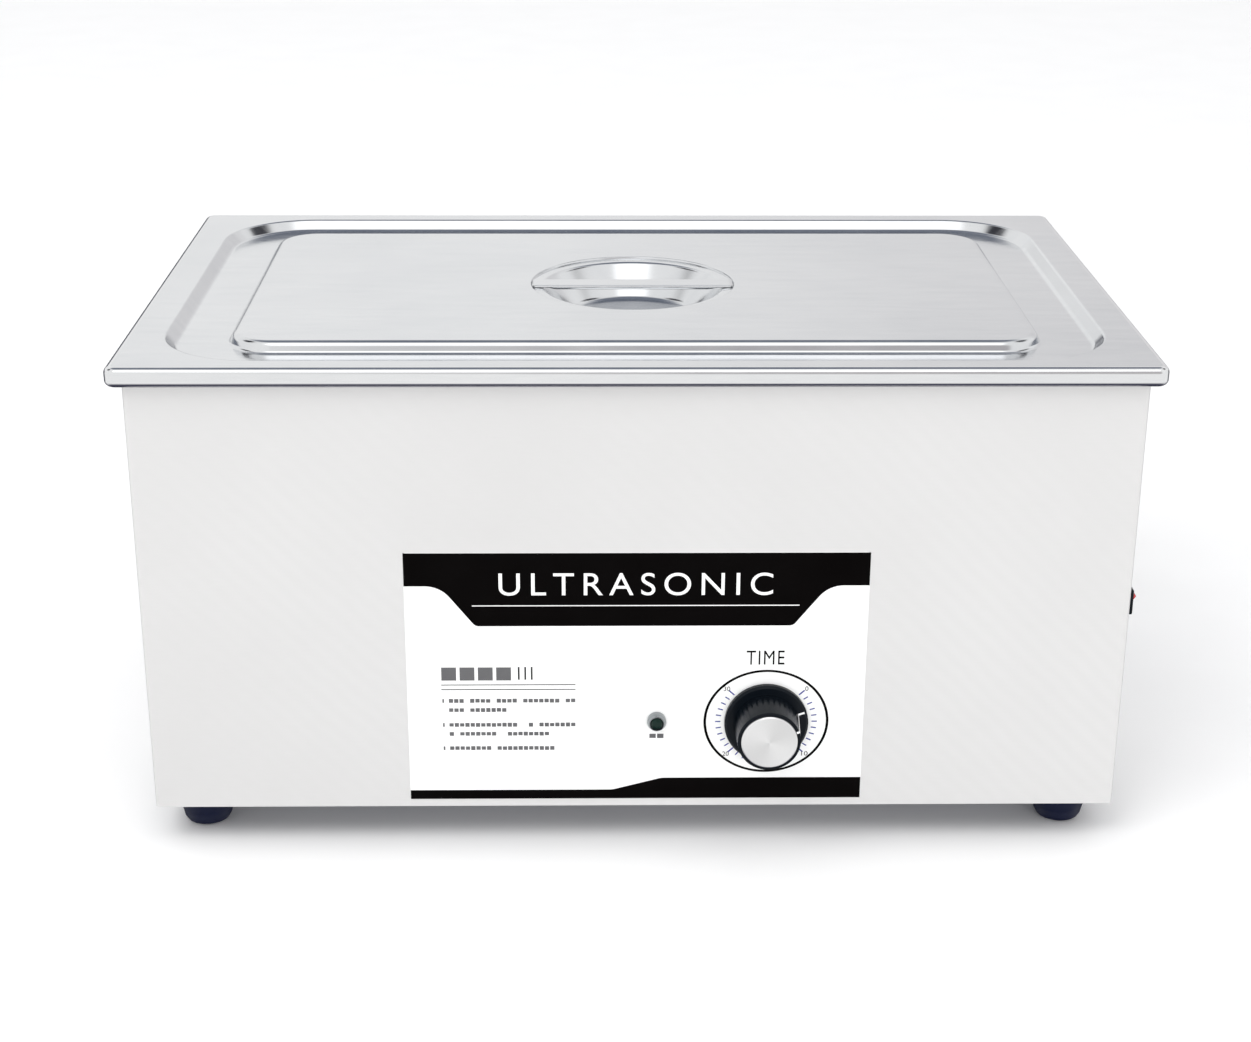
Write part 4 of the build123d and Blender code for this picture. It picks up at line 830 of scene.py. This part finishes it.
def build_floor():
    """Pale floor that fills the view."""
    verts = [(x, y, 0.0) for y in (-6.0, -2.0, 1.0, 4.2) for x in (-5.0, 5.0)]
    faces = [(2 * k, 2 * k + 1, 2 * k + 3, 2 * k + 2) for k in range(3)]
    mesh = bpy.data.meshes.new("studio_floor")
    mesh.from_pydata(verts, [], faces)
    floor = bpy.data.objects.new("studio_floor", mesh)
    bpy.context.scene.collection.objects.link(floor)
    for polygon in mesh.polygons:
        polygon.use_smooth = True
    material, tree, shader = new_material("studio floor", (0.93, 0.93, 0.93), 0.0, 0.6)
    paper = noise(tree, object_coords(tree), 12.0, 2.0)
    tree.links.new(
        blend_colours(tree, spread(tree, paper, 0.0, 1.0), (0.925, 0.925, 0.925), (0.94, 0.94, 0.94)),
        shader.inputs["Base Color"],
    )
    mesh.materials.append(material)
    floor.visible_glossy = False


def sky_patch(tree, direction, inner, outer):
    """Mask around one direction of the sky: 1 inside the inner angle, 0 past the outer."""
    coords = tree.nodes.new("ShaderNodeTexCoord")
    dot = tree.nodes.new("ShaderNodeVectorMath")
    dot.operation = "DOT_PRODUCT"
    dot.inputs[1].default_value = Vector(direction).normalized()
    tree.links.new(coords.outputs["Generated"], dot.inputs[0])
    node = tree.nodes.new("ShaderNodeMapRange")
    node.interpolation_type = "SMOOTHSTEP"
    node.inputs["From Min"].default_value = math.cos(math.radians(outer))
    node.inputs["From Max"].default_value = math.cos(math.radians(inner))
    tree.links.new(dot.outputs["Value"], node.inputs["Value"])
    return node.outputs["Result"]


def rear_low_sky(tree):
    """Mask of everything behind the object and below the horizon."""
    coords = tree.nodes.new("ShaderNodeTexCoord")
    parts = tree.nodes.new("ShaderNodeSeparateXYZ")
    tree.links.new(coords.outputs["Generated"], parts.inputs["Vector"])
    masks = []
    for axis, start, end in (("Z", 0.17, 0.03), ("Y", 0.2, 0.6)):
        node = tree.nodes.new("ShaderNodeMapRange")
        node.interpolation_type = "SMOOTHSTEP"
        node.inputs["From Min"].default_value = start
        node.inputs["From Max"].default_value = end
        tree.links.new(parts.outputs[axis], node.inputs["Value"])
        masks.append(node.outputs["Result"])
    both = tree.nodes.new("ShaderNodeMath")
    both.operation = "MULTIPLY"
    tree.links.new(masks[0], both.inputs[0])
    tree.links.new(masks[1], both.inputs[1])
    return both.outputs[0]


def build_world():
    """Even white studio with dimmer parts, so that polished steel has something to show."""
    world = bpy.data.worlds.new("studio")
    world.use_nodes = True
    bpy.context.scene.world = world
    tree = world.node_tree
    background = tree.nodes["Background"]
    shades = [(rear_low_sky(tree), (0.05, 0.055, 0.08))]
    patches = (
        ((0.0, 0.0, -1.0), 30, 55, (0.12, 0.12, 0.16)),
        ((0.0, 0.40, 1.0), 17, 32, (0.20, 0.22, 0.27)),
        ((0.25, -0.92, 0.34), 8, 26, (0.55, 0.53, 0.54)),
        ((0.0, -0.52, 0.85), 12, 24, (1.7, 1.7, 1.7)),
        ((0.50, 0.88, 0.24), 8, 32, (0.80, 0.79, 0.80)),
        ((-0.67, 0.14, 0.73), 7, 15, (0.03, 0.03, 0.04)),
        ((0.67, 0.14, 0.73), 7, 15, (0.03, 0.03, 0.04)),
    )
    for direction, inner, outer, shade in patches:
        shades.append((sky_patch(tree, direction, inner, outer), shade))
    colour = None
    for mask, shade in shades:
        mix = tree.nodes.new("ShaderNodeMix")
        mix.data_type = "RGBA"
        mix.inputs[6].default_value = (1.0, 1.0, 1.0, 1.0)
        mix.inputs[7].default_value = (*shade, 1.0)
        if colour:
            tree.links.new(colour, mix.inputs[6])
        tree.links.new(mask, mix.inputs["Factor"])
        colour = mix.outputs[2]
    tree.links.new(colour, background.inputs["Color"])
    background.inputs["Strength"].default_value = SKY_STRENGTH


def soft_light(name, place, target, size, power):
    lamp = bpy.data.lights.new(name, "AREA")
    lamp.shape = "RECTANGLE"
    lamp.size = size[0]
    lamp.size_y = size[1]
    lamp.energy = power
    light = bpy.data.objects.new(name, lamp)
    bpy.context.scene.collection.objects.link(light)
    light.location = place
    light.visible_glossy = False
    light.rotation_euler = (Vector(target) - Vector(place)).to_track_quat("-Z", "Y").to_euler()


def build_camera():
    """Eye level a little left of the middle, looking down on the lid."""
    yaw = math.radians(CAMERA_YAW)
    pitch = math.radians(CAMERA_PITCH)
    roll = math.radians(CAMERA_ROLL)
    ahead = Vector((-math.sin(yaw) * math.cos(pitch), math.cos(yaw) * math.cos(pitch), -math.sin(pitch)))
    right = Vector((math.cos(yaw), math.sin(yaw), 0.0))
    up = right.cross(ahead)
    tilted_right = right * math.cos(roll) + up * math.sin(roll)
    tilted_up = up * math.cos(roll) - right * math.sin(roll)
    lens = bpy.data.cameras.new("camera")
    lens.sensor_width = 36.0
    lens.lens = CAMERA_LENS
    lens.clip_end = 50.0
    camera = bpy.data.objects.new("camera", lens)
    bpy.context.scene.collection.objects.link(camera)
    axes = Matrix((tilted_right, tilted_up, -ahead)).transposed().to_4x4()
    camera.matrix_world = Matrix.Translation(CAMERA_PLACE) @ axes
    bpy.context.scene.camera = camera


def build_studio():
    build_floor()
    build_world()
    soft_light("key", (-1.2, -1.6, 2.4), (0.0, 0.0, 0.15), (1.6, 1.2), 26.0)
    soft_light("fill", (0.9, -2.2, 0.6), (0.0, 0.0, 0.08), (1.4, 1.0), 9.0)
    soft_light("ceiling", (0.0, 1.6, 4.0), (0.0, 1.6, 0.0), (9.0, 7.0), 90.0)
    bpy.context.scene.view_settings.view_transform = "Standard"


dress_cad_nodes()
build_lid()
build_strap()
build_banner()
build_foot_band()
build_notes()
build_dial()
build_pointer()
build_studio()
build_camera()
